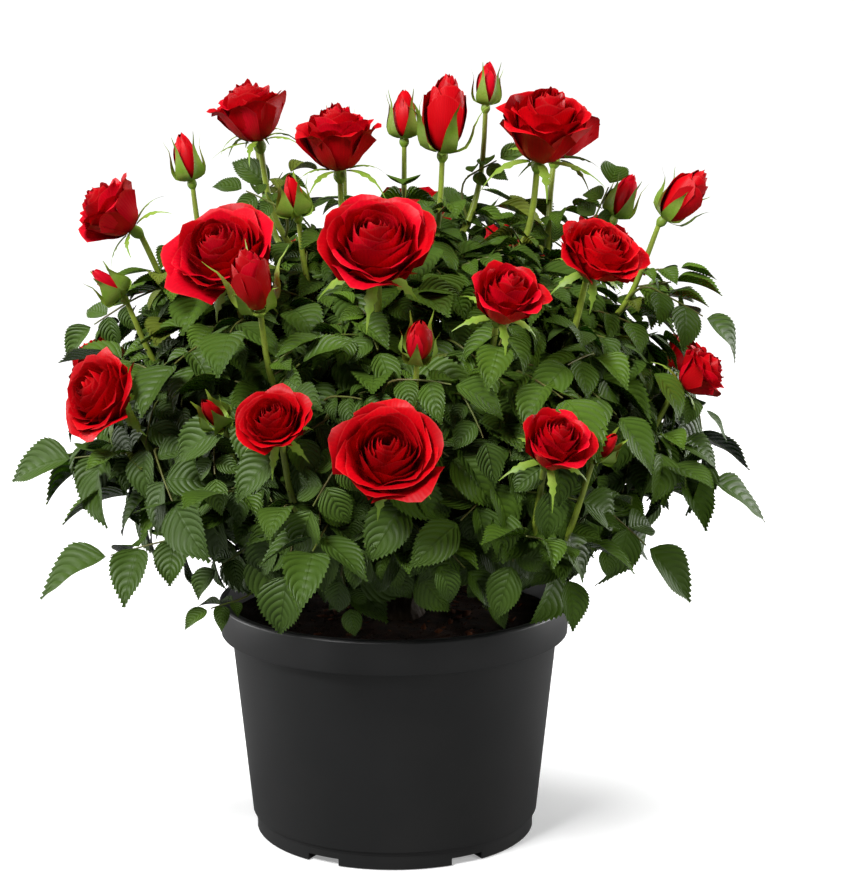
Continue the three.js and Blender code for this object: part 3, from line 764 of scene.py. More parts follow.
@functools.lru_cache(maxsize=None)
def leaflet_template(columns):
    """One flat leaflet: its corners, its quads and the triangles of its teeth.

    A corner is its share along, its share across and its share of the outline's width there.
    """
    along, across = np.mgrid[0 : 1 : (LEAFLET_STATIONS + 1) * 1j, -1 : 1 : columns * 1j]
    corners = np.stack([along.ravel(), (across * leaflet_width(along)).ravel(), across.ravel()], axis=1)
    quads = grid_faces(LEAFLET_STATIONS + 1, columns)
    teeth, tooth_faces = [], []
    for edge, outward in ((0, -1), (columns - 1, 1)):
        for i in range(1, LEAFLET_STATIONS):
            place = min((i + 1.1) / LEAFLET_STATIONS, 1)
            first = i * columns + edge
            tooth = len(corners) + len(teeth)
            reach = leaflet_width((i + 0.7) / LEAFLET_STATIONS) + 0.09
            teeth.append((place, outward * reach, outward * 1.06))
            pair = (first, first + columns, tooth)
            tooth_faces.append(pair if outward < 0 else pair[::-1])
    return np.concatenate([corners, np.array(teeth)]), quads, np.array(tooth_faces)


def leaflet_rows():
    """A row of numbers for each leaflet of the plant, and the rachis of each leaf."""
    rows, rachises = [], []
    for foot, way, face, length, leaflets, upper, firm, draw in grown_plant().leaves:
        droop = (0.16 + 0.22 * draw()) * firm
        if upper:
            droop *= 0.5
        side = face.cross(way)

        def spine(share):
            return foot + way * length * share - face * (droop * length * share * share)

        start = foot - way * 2
        rachises.append(([start] + [spine(leaflets[-1][0] * i / 5) for i in range(6)], RACHIS_RADII))
        tint = int(draw() * 5) if not upper else 3 + int(draw() * 4)
        for place, share, width, spread in leaflets:
            turns = (0,) if spread == 0 else (spread, -spread)
            for turn in turns:
                angle = math.radians(turn + 9 * (draw() - 0.5))
                here = (way - face * (2 * droop * place)).normalized()
                ahead = here * math.cos(angle) + side * math.sin(angle)
                root = spine(place) + ahead * (1.2 if turn else 3.0)
                sag = 0.12 + 0.3 * draw() if turn else 0.05 + 0.15 * draw()
                ahead = (ahead - face * sag).normalized()
                normal = flat_part(face + side * 0.25 * (draw() - 0.5) + way * 0.2 * (draw() - 0.5), ahead)
                reach = share * length * (0.92 + 0.16 * draw())
                wide = width * length * (0.92 + 0.16 * draw())
                fold, curl = 0.16 + 0.5 * draw(), 0.25 + 0.75 * draw()
                phase, cell = draw() * ANY_TURN, min(tint + int(draw() * 2), len(LEAF_TINTS) - 1)
                rows.append((*root, *ahead, *normal, reach, wide, fold, curl, phase, cell))
    return np.array(rows), rachises


def lay_leaflets(rows, columns):
    """Corners, faces and map places of all the leaflets in the rows."""
    template, quads, teeth = leaflet_template(columns)
    along, across = template[:, 0][None], template[:, 1][None]
    root, way, face = rows[:, None, 0:3], rows[:, None, 3:6], rows[:, None, 6:9]
    side = np.cross(face, way)
    length, width, fold, curl, phase = (rows[:, i : i + 1] for i in range(9, 14))
    bend = curl * along
    drop = np.abs(across) * width / 2
    lift = drop * np.sin(fold) + 0.022 * length * np.abs(across) * np.sin(phase + along * 9)
    x = length * np.sin(bend) / curl + lift * np.sin(bend)
    z = -length * (1 - np.cos(bend)) / curl + lift * np.cos(bend)
    y = across * width / 2 * np.cos(fold)
    corners = root + way * x[..., None] + face * z[..., None] + side * y[..., None]
    cell = rows[:, 14].astype(int)
    column, row = (cell % TINTS_ACROSS)[:, None], (cell // TINTS_ACROSS)[:, None]
    u = (column + 0.5 + 0.46 * template[:, 2][None]) / TINTS_ACROSS
    v = (row + 0.03 + 0.94 * along) / TINTS_DOWN
    places = np.stack([u, v], axis=-1).reshape(-1, 2)
    flat = corners.reshape(-1, 3)
    parts = []
    for faces in (quads, teeth):
        every = repeat_faces(faces, len(rows), len(template))
        parts.append((flat, every, places[every]))
    return parts


# Flowers

PETAL_ROWS = 9
PETAL_COLUMNS = 9
PETALS_IN_GREEN_BUD = 5
GREEN_BELLY = (0.3, 0.38)


def petal_rows():
    """A row of numbers for each petal of the plant."""
    rows = []
    for number, (kind, middle, width, axis) in enumerate(grown_flowers()):
        count, root, heart, rim, belly, tips, roll, _ = KINDS[kind]
        if kind == "bud" and width <= GREEN_BUD_WIDTH:
            count, belly = PETALS_IN_GREEN_BUD, GREEN_BELLY
        draw = random_from(PETAL_SEED + number)
        side = across_of(axis)
        side.rotate(Quaternion(axis, draw() * ANY_TURN))
        deep = int(draw() * 2)
        for i in range(count):
            share = ((i + 0.5) / count) ** 0.9
            turn = i * GOLDEN_ANGLE + 0.35 * (draw() - 0.5)
            wide = math.radians(50 + 80 * (1 - share) ** 2) * (0.92 + 0.16 * draw())
            radius = belly[0] + (belly[1] - belly[0]) * share
            tip = (tips[0] + (tips[1] - tips[0]) * share**1.15) * (0.94 + 0.12 * draw())
            top = heart + (rim - heart) * share**1.5 + 0.05 * (draw() - 0.5)
            curl = roll * smooth_step(max(0, share - 0.15) / 0.85) * (0.6 + 0.7 * draw())
            rows.append(
                (*middle, *axis, *side, width, turn, wide, radius, tip, root, top, curl,
                 draw() * ANY_TURN, draw() * ANY_TURN, (deep + int(draw() * 2)) % 4, share)
            )
    return np.array(rows)


def lay_petals(rows):
    """Corners, faces and map places of all the petals in the rows."""
    along, across = np.mgrid[0 : 1 : PETAL_ROWS * 1j, -1 : 1 : PETAL_COLUMNS * 1j]
    along, across = along.ravel()[None], across.ravel()[None]
    middle, axis, side = rows[:, None, 0:3], rows[:, None, 3:6], rows[:, None, 6:9]
    width, turn, wide, belly, tip, root, top, curl, phase, wave, cell, outer = (
        rows[:, i : i + 1] for i in range(9, 21)
    )
    # The outline runs out to a point, and its shoulders round off
    point, shoulder = 0.03 + 0.17 * outer, 0.03 + 0.08 * outer
    reach = along * (1 - point * np.abs(across) ** 1.2 - shoulder * np.abs(across) ** 3.5)
    # From root to tip the petal follows a Bezier curve of radius and height
    last = 1 - reach
    weights = (last**3, 3 * last**2 * reach, 3 * last * reach**2, reach**3)
    low = root + 0.02 + 0.06 * outer
    high = top - 0.24 * (1 - 0.45 * outer)
    radius = 0.035 * weights[0] + belly * 1.16 * weights[1] + belly * 1.06 * weights[2] + tip * weights[3]
    height = root * weights[0] + low * weights[1] + high * weights[2] + top * weights[3]
    # Its tip and its side edges roll back, and its rim is wavy
    rolled = np.clip((reach - 0.66) / 0.34, 0, 1) ** 2
    edge = np.clip((np.abs(across) - 0.5) / 0.5, 0, 1) ** 2 * np.clip(reach * 1.6 - 0.6, 0, 1)
    radius = radius + curl * (0.06 * rolled + 0.11 * edge) + 0.022 * across * (0.4 + outer)
    height = height - curl * (0.075 * rolled + 0.085 * edge)
    radius = radius + 0.018 * np.sin(phase + across * 4.2) * reach**2 * (0.3 + outer)
    height = height + 0.02 * np.sin(wave + across * 5.5) * reach**3
    angle = turn + across * wide * (1 - 0.12 * reach)
    forward = np.cross(axis, side)
    out = side * np.cos(angle)[..., None] + forward * np.sin(angle)[..., None]
    corners = middle + width[..., None] * (out * radius[..., None] + axis * height[..., None])
    faces = repeat_faces(grid_faces(PETAL_ROWS, PETAL_COLUMNS), len(rows), PETAL_ROWS * PETAL_COLUMNS)
    u = (cell % 2 + 0.5 + 0.46 * across) / 2
    v = (cell // 2 + 0.03 + 0.94 * along) / 2
    places = np.stack([u, v + 0 * u], axis=-1).reshape(-1, 2)
    return [(corners.reshape(-1, 3), faces[:, ::-1], places[faces[:, ::-1]])]


SEPAL_ROWS = 13
SEPAL_LOBES = {5: 0.6, 7: 0.9}  # rows where a side lobe stands out, by how far
# A bud's sepal from its root to its free tip: share of its length, radius and height from the bud's
# middle and half width, all in flower widths
BUD_SEPAL = (
    (0, 0.1, -0.62, 0.16), (0.14, 0.35, -0.54, 0.24), (0.3, 0.47, -0.32, 0.23), (0.45, 0.5, -0.05, 0.15),
    (0.6, 0.49, 0.2, 0.08), (0.75, 0.5, 0.42, 0.04), (0.88, 0.58, 0.6, 0.025), (1, 0.64, 0.8, 0.008),
)
PEELED_SEPALS = {"bud": 0, "opening": 0.7}  # how far the sepals of buds have come away
OPENING_SEPAL = 0.6  # how wide the sepals of an opening bud are next to a bud's
OPEN_SEPALS = {"open": 0.46, "half": 0.6}  # length of an open flower's sepals, in flower widths
HIP_LENGTH = 2.4  # in radii of the hip
HIP_SWELL = (0.35, 0.72, 0.98, 1.0, 0.86, 0.74)


def lay_sepals():
    """Five long sepals under each flower, hugging a bud and turned down under an open bloom."""
    parts = []
    stations, *measures = zip(*BUD_SEPAL)
    for number, (kind, middle, width, axis) in enumerate(grown_flowers()):
        _, root, *_, (start, end) = KINDS[kind]
        draw = random_from(SEPAL_SEED + number)
        side = across_of(axis)
        forward = axis.cross(side)
        length = OPEN_SEPALS.get(kind, 1) * width
        half = 0.032 * width + 0.7
        for i in range(5):
            turn = math.tau * (i + 0.2 * draw()) / 5
            out = side * math.cos(turn) + forward * math.sin(turn)
            across = axis.cross(out)
            bend_end = end + 30 * (draw() - 0.5)
            stretch = 0.85 + 0.3 * draw()
            point = middle + axis * root * width + out * (0.05 * width + 1)
            corners = []
            for row in range(SEPAL_ROWS):
                share = row / (SEPAL_ROWS - 1)
                if kind in PEELED_SEPALS:
                    radius, height, wide = (np.interp(share, stations, measure) for measure in measures)
                    if width > GREEN_BUD_WIDTH and height > 0:
                        height *= stretch
                    peeled = PEELED_SEPALS[kind] * max(0, share - 0.4)
                    radius, height = radius + 0.7 * peeled, height - 1.1 * peeled
                    wide *= OPENING_SEPAL if kind == "opening" else 1
                    point = middle + (out * radius + axis * height) * width
                    wide, way = wide * width * (GREEN_COVER if width <= GREEN_BUD_WIDTH else 1), axis
                else:
                    lean = math.radians(start + (bend_end - start) * share)
                    way = out * math.sin(lean) + axis * math.cos(lean)
                    point = point + way * (length * stretch / (SEPAL_ROWS - 1))
                    wide = half * (1 - share) ** 0.75 * (0.75 + 0.6 * math.sin(math.pi * min(share * 1.5, 1)))
                    wide = wide * (1 + SEPAL_LOBES.get(row, 0)) + 0.12
                lift = way.cross(across) * (0.25 * wide)
                corners += [point - across * wide - lift, point, point + across * wide - lift]
            shares = np.repeat(np.linspace(0, 1, SEPAL_ROWS), 3)
            places = np.stack([np.tile([0.06, 0.5, 0.94], SEPAL_ROWS), shares], axis=1)
            faces = grid_faces(SEPAL_ROWS, 3)
            parts.append((corner_rows(corners), faces, places[faces]))
    return parts


def lay_hips():
    """The small green hip under each flower, as a round limb that swells and closes."""
    parts = []
    for kind, middle, width, axis in grown_flowers():
        foot, radius = hip_of(kind, middle, width, axis)
        last = len(HIP_SWELL) - 1
        points = [foot + axis * radius * HIP_LENGTH * i / last for i in range(last + 1)]
        parts += tube(points, [radius * share for share in HIP_SWELL], 10)
    return parts


# Materials

# Second colours of the finishes, beside those that the panel sets
VEIN_COLOUR = (0.2, 0.3, 0.03)
# painted highlight along the leaflets' edges
EDGE_HIGHLIGHT_COLOUR = (0.3, 0.38, 0.1)
UNDERSIDE_COLOUR = (0.1, 0.17, 0.02)
YOUNG_FLUSH = (0.2, 0.05, 0.03)
PETAL_TINTS = (((0.34, 0, 0.003), 0.5), ((0.7, 0.003, 0.03), 0.35), ((0.7, 0.006, 0.006), 0.6))
FAN_COLOUR = (0.2, 0, 0.006)
# painted highlight along the petals' rims
RIM_HIGHLIGHT_COLOUR = (0.8, 0.08, 0.07)
# painted shade at the petals' roots, deep in the bloom
ROOT_SHADE_COLOUR = (0.09, 0.001, 0.003)
SHADED_GREEN = (0.06, 0.09, 0.02)
CANE_FLUSH = (0.1, 0.075, 0.03)
BROWN_BARK = (0.1, 0.055, 0.025)
GREEN_FROM = 260  # height in millimetres from which a cane is green all over
STEM_FLUSH = (0.14, 0.14, 0.03)
TWIG_FLUSH = (0.09, 0.045, 0.02)
SEPAL_FLUSH = (0.36, 0.42, 0.1)
PRICKLE_COLOURS = ((0.16, 0.05, 0.025), (0.22, 0.12, 0.05))
STOCK_COLOURS = ((0.045, 0.03, 0.018), (0.1, 0.07, 0.04))
CHIP_COLOURS = ((0.13, 0.042, 0.016), (0.045, 0.018, 0.01))
DRY_PEAT = (0.045, 0.022, 0.013)
DUST_COLOUR = (0.09, 0.08, 0.07)


def new_node(tree, kind, inputs=(), **settings):
    """A shader node with its settings. Each input is a number, a colour or another node's output."""
    node = tree.nodes.new(kind)
    for name, value in settings.items():
        setattr(node, name, value)
    for label, value in dict(inputs).items():
        if isinstance(value, bpy.types.NodeSocket):
            tree.links.new(value, node.inputs[label])
        else:
            node.inputs[label].default_value = (*value, 1) if isinstance(value, tuple) else value
    return node


def math_node(tree, operation, *values, clamp=False):
    """The result of a Math node."""
    node = new_node(tree, "ShaderNodeMath", enumerate(values), operation=operation, use_clamp=clamp)
    return node.outputs[0]


def mix_colours(tree, share, first, second, blend="MIX"):
    """The colour that two others give, mixed by a share."""
    inputs = {0: share, 6: first, 7: second}
    return new_node(tree, "ShaderNodeMix", inputs, data_type="RGBA", blend_type=blend).outputs[2]


def new_group(name, inputs, outputs):
    """A node group of numbers, with its inputs and their defaults, and its outputs."""
    group = bpy.data.node_groups.new(name, "ShaderNodeTree")
    for label, default in inputs.items():
        socket = group.interface.new_socket(name=label, in_out="INPUT", socket_type="NodeSocketFloat")
        socket.default_value = default
    for label in outputs:
        group.interface.new_socket(name=label, in_out="OUTPUT", socket_type="NodeSocketFloat")
    return group, group.nodes.new("NodeGroupInput"), group.nodes.new("NodeGroupOutput")


def place_group(tree, group, **values):
    """The outputs of a node group that is placed in a material with its own values."""
    inputs = {name.replace("_", " ").title(): value for name, value in values.items()}
    return new_node(tree, "ShaderNodeGroup", inputs, node_tree=group).outputs


@functools.lru_cache(maxsize=None)
def mottle_group():
    """Large and fine noise on the piece's own coordinates, as masks from 0 to 1."""
    defaults = {"Scale": 30.0, "Fine Scale": 400.0}
    group, given, result = new_group("surface_mottle", defaults, ("Broad", "Fine"))
    place = group.nodes.new("ShaderNodeTexCoord").outputs["Object"]
    for label, scale, detail in (("Broad", "Scale", 4), ("Fine", "Fine Scale", 6)):
        inputs = {"Vector": place, "Scale": given.outputs[scale], "Detail": detail, "Roughness": 0.6}
        cloud = new_node(group, "ShaderNodeTexNoise", inputs)
        group.links.new(cloud.outputs[0], result.inputs[label])
    return group


@functools.lru_cache(maxsize=None)
def vein_group():
    """Midrib and slanting side veins on the leaf map's cells, with the height between them."""
    defaults = {"Cells Across": 4.0, "Cells Down": 2.0, "Pairs": 9.0, "Slant": 0.3}
    group, given, result = new_group("leaf_veins", defaults, ("Cell", "Vein", "Height", "Across", "Along"))
    calc = functools.partial(math_node, group)
    cells_across = given.outputs["Cells Across"]
    place = new_node(group, "ShaderNodeUVMap", uv_map=LEAF_MAP).outputs[0]
    parts = new_node(group, "ShaderNodeSeparateXYZ", {0: place}).outputs
    wide = calc("MULTIPLY", parts[0], cells_across)
    tall = calc("MULTIPLY", parts[1], given.outputs["Cells Down"])
    cell = calc("MULTIPLY_ADD", calc("FLOOR", tall), cells_across, calc("FLOOR", wide))
    along = calc("FRACT", tall)
    across = calc("MULTIPLY", calc("ABSOLUTE", calc("SUBTRACT", calc("FRACT", wide), 0.5)), 2.0)
    # Side veins leave the midrib at a slant and arch towards the tip
    arch = calc("MULTIPLY_ADD", across, 0.9, 0.55)
    slanted = calc("MULTIPLY", calc("MULTIPLY", across, arch), given.outputs["Slant"])
    phase = calc("MULTIPLY", calc("SUBTRACT", along, slanted), given.outputs["Pairs"])
    step = calc("FRACT", phase)
    side_vein = calc("MULTIPLY_ADD", calc("ABSOLUTE", calc("SUBTRACT", step, 0.5)), -8.0, 0.5, clamp=True)
    fading = calc("MULTIPLY", calc("SUBTRACT", 1.0, across, clamp=True), 0.5)
    side_vein = calc("MULTIPLY", side_vein, fading)
    midrib = calc("MULTIPLY_ADD", across, -20.0, 1.5, clamp=True)
    # The blade sinks at the veins and swells between them
    bulge = calc("SUBTRACT", 1.0, calc("SINE", calc("MULTIPLY", step, math.pi)))
    masks = {
        "Cell": cell,
        "Vein": calc("MAXIMUM", midrib, side_vein),
        "Height": calc("SUBTRACT", bulge, calc("MULTIPLY", midrib, 0.6)),
        "Across": across,
        "Along": along,
    }
    for label, output in masks.items():
        group.links.new(output, result.inputs[label])
    return group


def new_material(name, **sockets):
    """A material whose Principled shader has these values on its own sockets."""
    material = bpy.data.materials.new(name)
    material.use_nodes = True
    shader = material.node_tree.nodes["Principled BSDF"]
    for label, value in sockets.items():
        socket = shader.inputs[label.replace("_", " ").title().replace("Ior", "IOR")]
        socket.default_value = (*value, 1) if isinstance(value, tuple) else value
    return material, material.node_tree, shader


def add_bump(tree, shader, height, strength, distance):
    """Fine relief on a shader from a height mask."""
    inputs = {"Strength": strength, "Distance": distance, "Height": height}
    tree.links.new(new_node(tree, "ShaderNodeBump", inputs).outputs[0], shader.inputs["Normal"])


def tint_ramp(tree, cell, tints):
    """The colour of each map cell, from a list of colours."""
    ramp = new_node(tree, "ShaderNodeValToRGB")
    ramp.color_ramp.interpolation = "CONSTANT"
    stops = ramp.color_ramp.elements
    while len(stops) < len(tints):
        stops.new(0.5)
    for i, colour in enumerate(tints):
        stops[i].position = i / len(tints)
        stops[i].color = (*colour, 1)
    centred = math_node(tree, "MULTIPLY_ADD", cell, 1 / len(tints), 0.5 / len(tints))
    tree.links.new(centred, ramp.inputs[0])
    return ramp.outputs[0]


def blended(first, second, share):
    """A colour on the way from one to another."""
    return tuple(a + (b - a) * share for a, b in zip(first, second))


def shaded(tree, base, mask, gain, lowest):
    """A base colour made lighter and darker by a mask."""
    shade = math_node(tree, "MULTIPLY_ADD", mask, gain, lowest)
    grey = new_node(tree, "ShaderNodeCombineColor", {0: shade, 1: shade, 2: shade}).outputs[0]
    return mix_colours(tree, 1.0, base, grey, "MULTIPLY")


def leaf_material():
    """Glossy quilted leaf, dark to light by cell, with paler veins, a painted highlight along its edges and a
    paler underside.
    """
    sizes = bpy.context.scene.rose_growth
    material, tree, shader = new_material("rose_leaf", roughness=0.32, specular_ior_level=0.42)
    calc, mixed = functools.partial(math_node, tree), functools.partial(mix_colours, tree)
    veins = place_group(tree, vein_group(), pairs=8.0, slant=0.26)
    dark, light = tuple(sizes.leaf_colour), tuple(sizes.young_colour)
    tints = [blended(dark, light, share) for share in LEAF_TINTS]
    tints[-1] = blended(tints[-1], YOUNG_FLUSH, 0.35)
    mottle = place_group(tree, mottle_group(), scale=55.0, fine_scale=900.0)
    base = shaded(tree, tint_ramp(tree, veins["Cell"], tints), mottle["Broad"], 0.7, 0.65)
    upper = mixed(calc("MULTIPLY", veins["Vein"], 0.6), base, VEIN_COLOUR)
    # Painted highlight: a pale hairline along the leaflet's toothed edges
    edge_highlight = calc("MULTIPLY_ADD", veins["Across"], 14.0, -11.8, clamp=True)
    upper = mixed(calc("MULTIPLY", edge_highlight, 0.45), upper, EDGE_HIGHLIGHT_COLOUR)
    back = tree.nodes.new("ShaderNodeNewGeometry").outputs["Backfacing"]
    lower = mixed(0.4, base, UNDERSIDE_COLOUR)
    tree.links.new(mixed(back, upper, lower), shader.inputs["Base Color"])
    rough = calc("MULTIPLY_ADD", mottle["Fine"], 0.26, 0.12)
    tree.links.new(calc("MULTIPLY_ADD", back, 0.3, rough), shader.inputs["Roughness"])
    add_bump(tree, shader, veins["Height"], 0.75, 0.0008)
    return material


def petal_material():
    """Velvety red petal with fine veins, a painted highlight along its rim and painted shade towards its
    root.
    """
    colour = tuple(bpy.context.scene.rose_flowers.petal_colour)
    material, tree, shader = new_material("rose_petal", roughness=0.45, specular_ior_level=0.16)
    calc, mixed = functools.partial(math_node, tree), functools.partial(mix_colours, tree)
    veins = place_group(tree, vein_group(), cells_across=2.0, cells_down=2.0, pairs=0.0, slant=0.0)
    tints = [colour] + [blended(colour, other, share) for other, share in PETAL_TINTS]
    fan = calc("SINE", calc("MULTIPLY", veins["Across"], 60.0))
    base = mixed(calc("MULTIPLY_ADD", fan, 0.06, 0.06), tint_ramp(tree, veins["Cell"], tints), FAN_COLOUR)
    # Painted highlight: the petal's rim is made lighter, as if its edge caught the light
    rim_highlight = calc("MULTIPLY_ADD", veins["Along"], 22.0, -20.6, clamp=True)
    base = mixed(calc("MULTIPLY", rim_highlight, 0.3), base, RIM_HIGHLIGHT_COLOUR)
    # Painted shade: the petal darkens towards its root, deep in the bloom
    deep = calc("MULTIPLY_ADD", veins["Along"], -3.2, 1.05, clamp=True)
    base = mixed(calc("MULTIPLY", deep, 0.75), base, ROOT_SHADE_COLOUR)
    tree.links.new(base, shader.inputs["Base Color"])
    add_bump(tree, shader, fan, 0.12, 0.0002)
    return material


def skin_material(name, colour, flush, scale, roughness, bump):
    """Living bark or green skin: two colours in soft patches with fine relief."""
    material, tree, shader = new_material(name, roughness=roughness)
    mottle = place_group(tree, mottle_group(), scale=scale, fine_scale=scale * 12)
    patch = math_node(tree, "MULTIPLY_ADD", mottle["Broad"], 2.2, -0.75, clamp=True)
    base = shaded(tree, mix_colours(tree, patch, colour, flush), mottle["Fine"], 0.7, 0.65)
    tree.links.new(base, shader.inputs["Base Color"])
    add_bump(tree, shader, mottle["Fine"], bump, 0.0004)
    return material


def cane_material():
    """Green cane skin that turns to brown bark towards the stock."""
    green = blended(tuple(bpy.context.scene.rose_growth.stem_colour), SHADED_GREEN, 0.6)
    material = skin_material("cane_skin", green, CANE_FLUSH, 70, 0.5, 0.4)
    tree = material.node_tree
    base = tree.nodes["Principled BSDF"].inputs["Base Color"]
    skin = base.links[0].from_socket
    place = tree.nodes.new("ShaderNodeTexCoord").outputs["Object"]
    height = new_node(tree, "ShaderNodeSeparateXYZ", {0: place}).outputs[2]
    low, high = SOIL_HEIGHT * MM, GREEN_FROM * MM
    woody = math_node(tree, "MULTIPLY_ADD", height, -1 / (high - low), high / (high - low), clamp=True)
    tree.links.new(mix_colours(tree, woody, skin, BROWN_BARK), base)
    return material


def plastic_material():
    """Satin black moulded plastic with a fine grain and a few dull, dusty patches."""
    colour = tuple(bpy.context.scene.rose_pot.plastic_colour)
    material, tree, shader = new_material("pot_plastic", roughness=0.34, specular_ior_level=0.75)
    mottle = place_group(tree, mottle_group(), scale=9.0, fine_scale=1400.0)
    dust = math_node(tree, "MULTIPLY_ADD", mottle["Broad"], 2.4, -1.1, clamp=True)
    share = math_node(tree, "MULTIPLY", dust, 0.1)
    tree.links.new(mix_colours(tree, share, colour, DUST_COLOUR), shader.inputs["Base Color"])
    rough = math_node(tree, "MULTIPLY_ADD", mottle["Broad"], 0.16, 0.36)
    tree.links.new(rough, shader.inputs["Roughness"])
    add_bump(tree, shader, mottle["Fine"], 0.12, 0.0002)
    return material


def earth_material(name, colour, second):
    """Dull, crumbly stuff of two colours: peat or bark chips."""
    material, tree, shader = new_material(name, roughness=0.95, specular_ior_level=0.2)
    mottle = place_group(tree, mottle_group(), scale=120.0, fine_scale=900.0)
    patch = math_node(tree, "MULTIPLY_ADD", mottle["Broad"], 3.0, -1.1, clamp=True)
    tree.links.new(mix_colours(tree, patch, colour, second), shader.inputs["Base Color"])
    add_bump(tree, shader, mottle["Fine"], 0.8, 0.0012)
    return material


# Pieces made with the modelling operators


def deselect():
    """Leaves nothing selected."""
    bpy.ops.object.select_all(action="DESELECT")


def turned_piece(name, profile, sides):
    """A ring drawn along a profile of radii and heights in millimetres, with both ends closed."""
    deselect()
    radius, height = profile[0]
    bpy.ops.mesh.primitive_circle_add(vertices=sides, radius=radius * MM, location=(0, 0, height * MM))
    piece = bpy.context.active_object
    piece.name = piece.data.name = name
    bpy.ops.object.transform_apply(location=True, rotation=True, scale=True)
    bpy.ops.object.mode_set(mode="EDIT")
    bpy.ops.mesh.select_all(action="SELECT")
    for (radius, height), (next_radius, next_height) in zip(profile, profile[1:]):
        rise = (0, 0, (next_height - height) * MM)
        bpy.ops.mesh.extrude_edges_move(TRANSFORM_OT_translate={"value": rise})
        widen = next_radius / radius
        bpy.ops.transform.resize(value=(widen, widen, 1), center_override=(0, 0, next_height * MM))
    bpy.ops.mesh.select_all(action="SELECT")
    bpy.ops.mesh.fill_holes(sides=0)
    bpy.ops.mesh.select_all(action="SELECT")
    bpy.ops.mesh.normals_make_consistent(inside=False)
    bpy.ops.object.mode_set(mode="OBJECT")
    return piece


def apply_modifier(piece, kind, **settings):
    """Adds a modifier with its settings and applies it."""
    bpy.context.view_layer.objects.active = piece
    modifier = piece.modifiers.new(kind.lower(), kind)
    for name, value in settings.items():
        setattr(modifier, name, value)
    bpy.ops.object.modifier_apply(modifier=modifier.name)


def smooth_by_angle(piece, degrees):
    """Shades a piece smooth apart from its edges sharper than an angle."""
    deselect()
    piece.select_set(True)
    bpy.context.view_layer.objects.active = piece
    bpy.ops.object.shade_smooth_by_angle(angle=math.radians(degrees))


def drain_cutter():
    """Six blocks round the foot ring, joined as one, that cut the drain notches."""
    deselect()
    blocks = []
    for i in range(DRAINS):
        turn = math.tau * i / DRAINS
        place = (FOOT_RADIUS * MM * math.cos(turn), FOOT_RADIUS * MM * math.sin(turn), 0)
        bpy.ops.mesh.primitive_cube_add(size=1, location=place, rotation=(0, 0, turn))
        block = bpy.context.active_object
        block.scale = (3 * FOOT_RING_WIDTH * MM, DRAIN_WIDTH * MM, 2 * DRAIN_HEIGHT * MM)
        blocks.append(block)
    for block in blocks:
        block.select_set(True)
    bpy.ops.object.join()
    cutter = bpy.context.active_object
    bpy.ops.object.transform_apply(location=True, rotation=True, scale=True)
    return cutter


def finish_piece(piece, material, slot, *nodes):
    """Gives a piece its material and the root body, and hides the nodes it stands for. The slot is not used.
    """
    piece.data.materials.clear()
    piece.data.materials.append(material)
    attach(piece, "root")
    if nodes:
        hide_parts(*nodes)


def node_names(start):
    """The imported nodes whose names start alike."""
    return sorted(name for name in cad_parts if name.startswith(start))


class ROSE_OT_pot(bpy.types.Operator):
    """Models the moulded pot with its collar, foot ring and drain notches"""

    bl_idname = "rose.pot"
    bl_label = "Model Pot"

    def execute(self, context):
        collar = POT_HEIGHT - COLLAR_HEIGHT
        ring = FOOT_RADIUS - FOOT_RING_WIDTH
        floor = BASE_LIFT + BASE_THICK
        profile = [
            (1, BASE_LIFT), (ring, BASE_LIFT), (ring, 0), (FOOT_RADIUS, 0), (FOOT_RADIUS, FOOT_HEIGHT),
            (WALL_FOOT_RADIUS, FOOT_HEIGHT), (WALL_TOP_RADIUS, collar), (RIM_RADIUS - COLLAR_TAPER, collar),
            (RIM_RADIUS, POT_HEIGHT - LIP_ROUND), (RIM_RADIUS - LIP_ROUND, POT_HEIGHT),
            (RIM_RADIUS - LIP_WIDTH, POT_HEIGHT), (RIM_RADIUS - LIP_WIDTH, collar + WALL),
            (WALL_TOP_RADIUS - WALL, collar - WALL), (WALL_FOOT_RADIUS - WALL, floor), (1, floor),
        ]
        pot = turned_piece("pot_shell", profile, POT_SIDES)
        cutter = drain_cutter()
        apply_modifier(pot, "BOOLEAN", operation="DIFFERENCE", object=cutter, solver="EXACT")
        bpy.data.objects.remove(cutter)
        apply_modifier(
            pot, "BEVEL", width=context.scene.rose_pot.edge_round, segments=3,
            limit_method="ANGLE", angle_limit=math.radians(28),
        )
        smooth_by_angle(pot, 35)
        finish_piece(pot, plastic_material(), "plastic", "pot")
        return {"FINISHED"}


def scattered(count, seed, sizes, flatness):
    """Small uneven lumps on the soil, each half sunk and turned its own way."""
    parts = []
    ring = ((1, 0), (0.31, 0.95), (-0.81, 0.59), (-0.81, -0.59), (0.31, -0.95))
    faces = [(0, i, i % 5 + 1) for i in range(1, 6)] + [(6, i % 5 + 1, i) for i in range(1, 6)]
    for i in range(count):
        draw = random_from(seed + i)
        flat = (RIM_RADIUS - LIP_WIDTH - 4) * math.sqrt(draw())
        turn = draw() * math.tau
        size = sizes[0] + (sizes[1] - sizes[0]) * draw() ** 2
        place = Vector((flat * math.cos(turn), flat * math.sin(turn), 0))
        place.z = SOIL_EDGE_HEIGHT + SOIL_RISE * (1 - flat / RIM_RADIUS) + 0.2 * size
        shape = [Vector((0, 0, 1))] + [Vector((x, y, 0)) for x, y in ring] + [Vector((0, 0, -1))]
        tilt = Quaternion(Vector((draw() - 0.5, draw() - 0.5, 3 * draw())).normalized(), draw() * ANY_TURN)
        corners = []
        for corner in shape:
            corner = Vector((corner.x * (1 + draw()), corner.y * (0.6 + 0.5 * draw()), corner.z * flatness))
            corner.rotate(tilt)
            corners.append(tuple(place + corner * size * (0.4 + 0.2 * draw())))
        parts.append((np.array(corners), np.array(faces), None))
    return parts


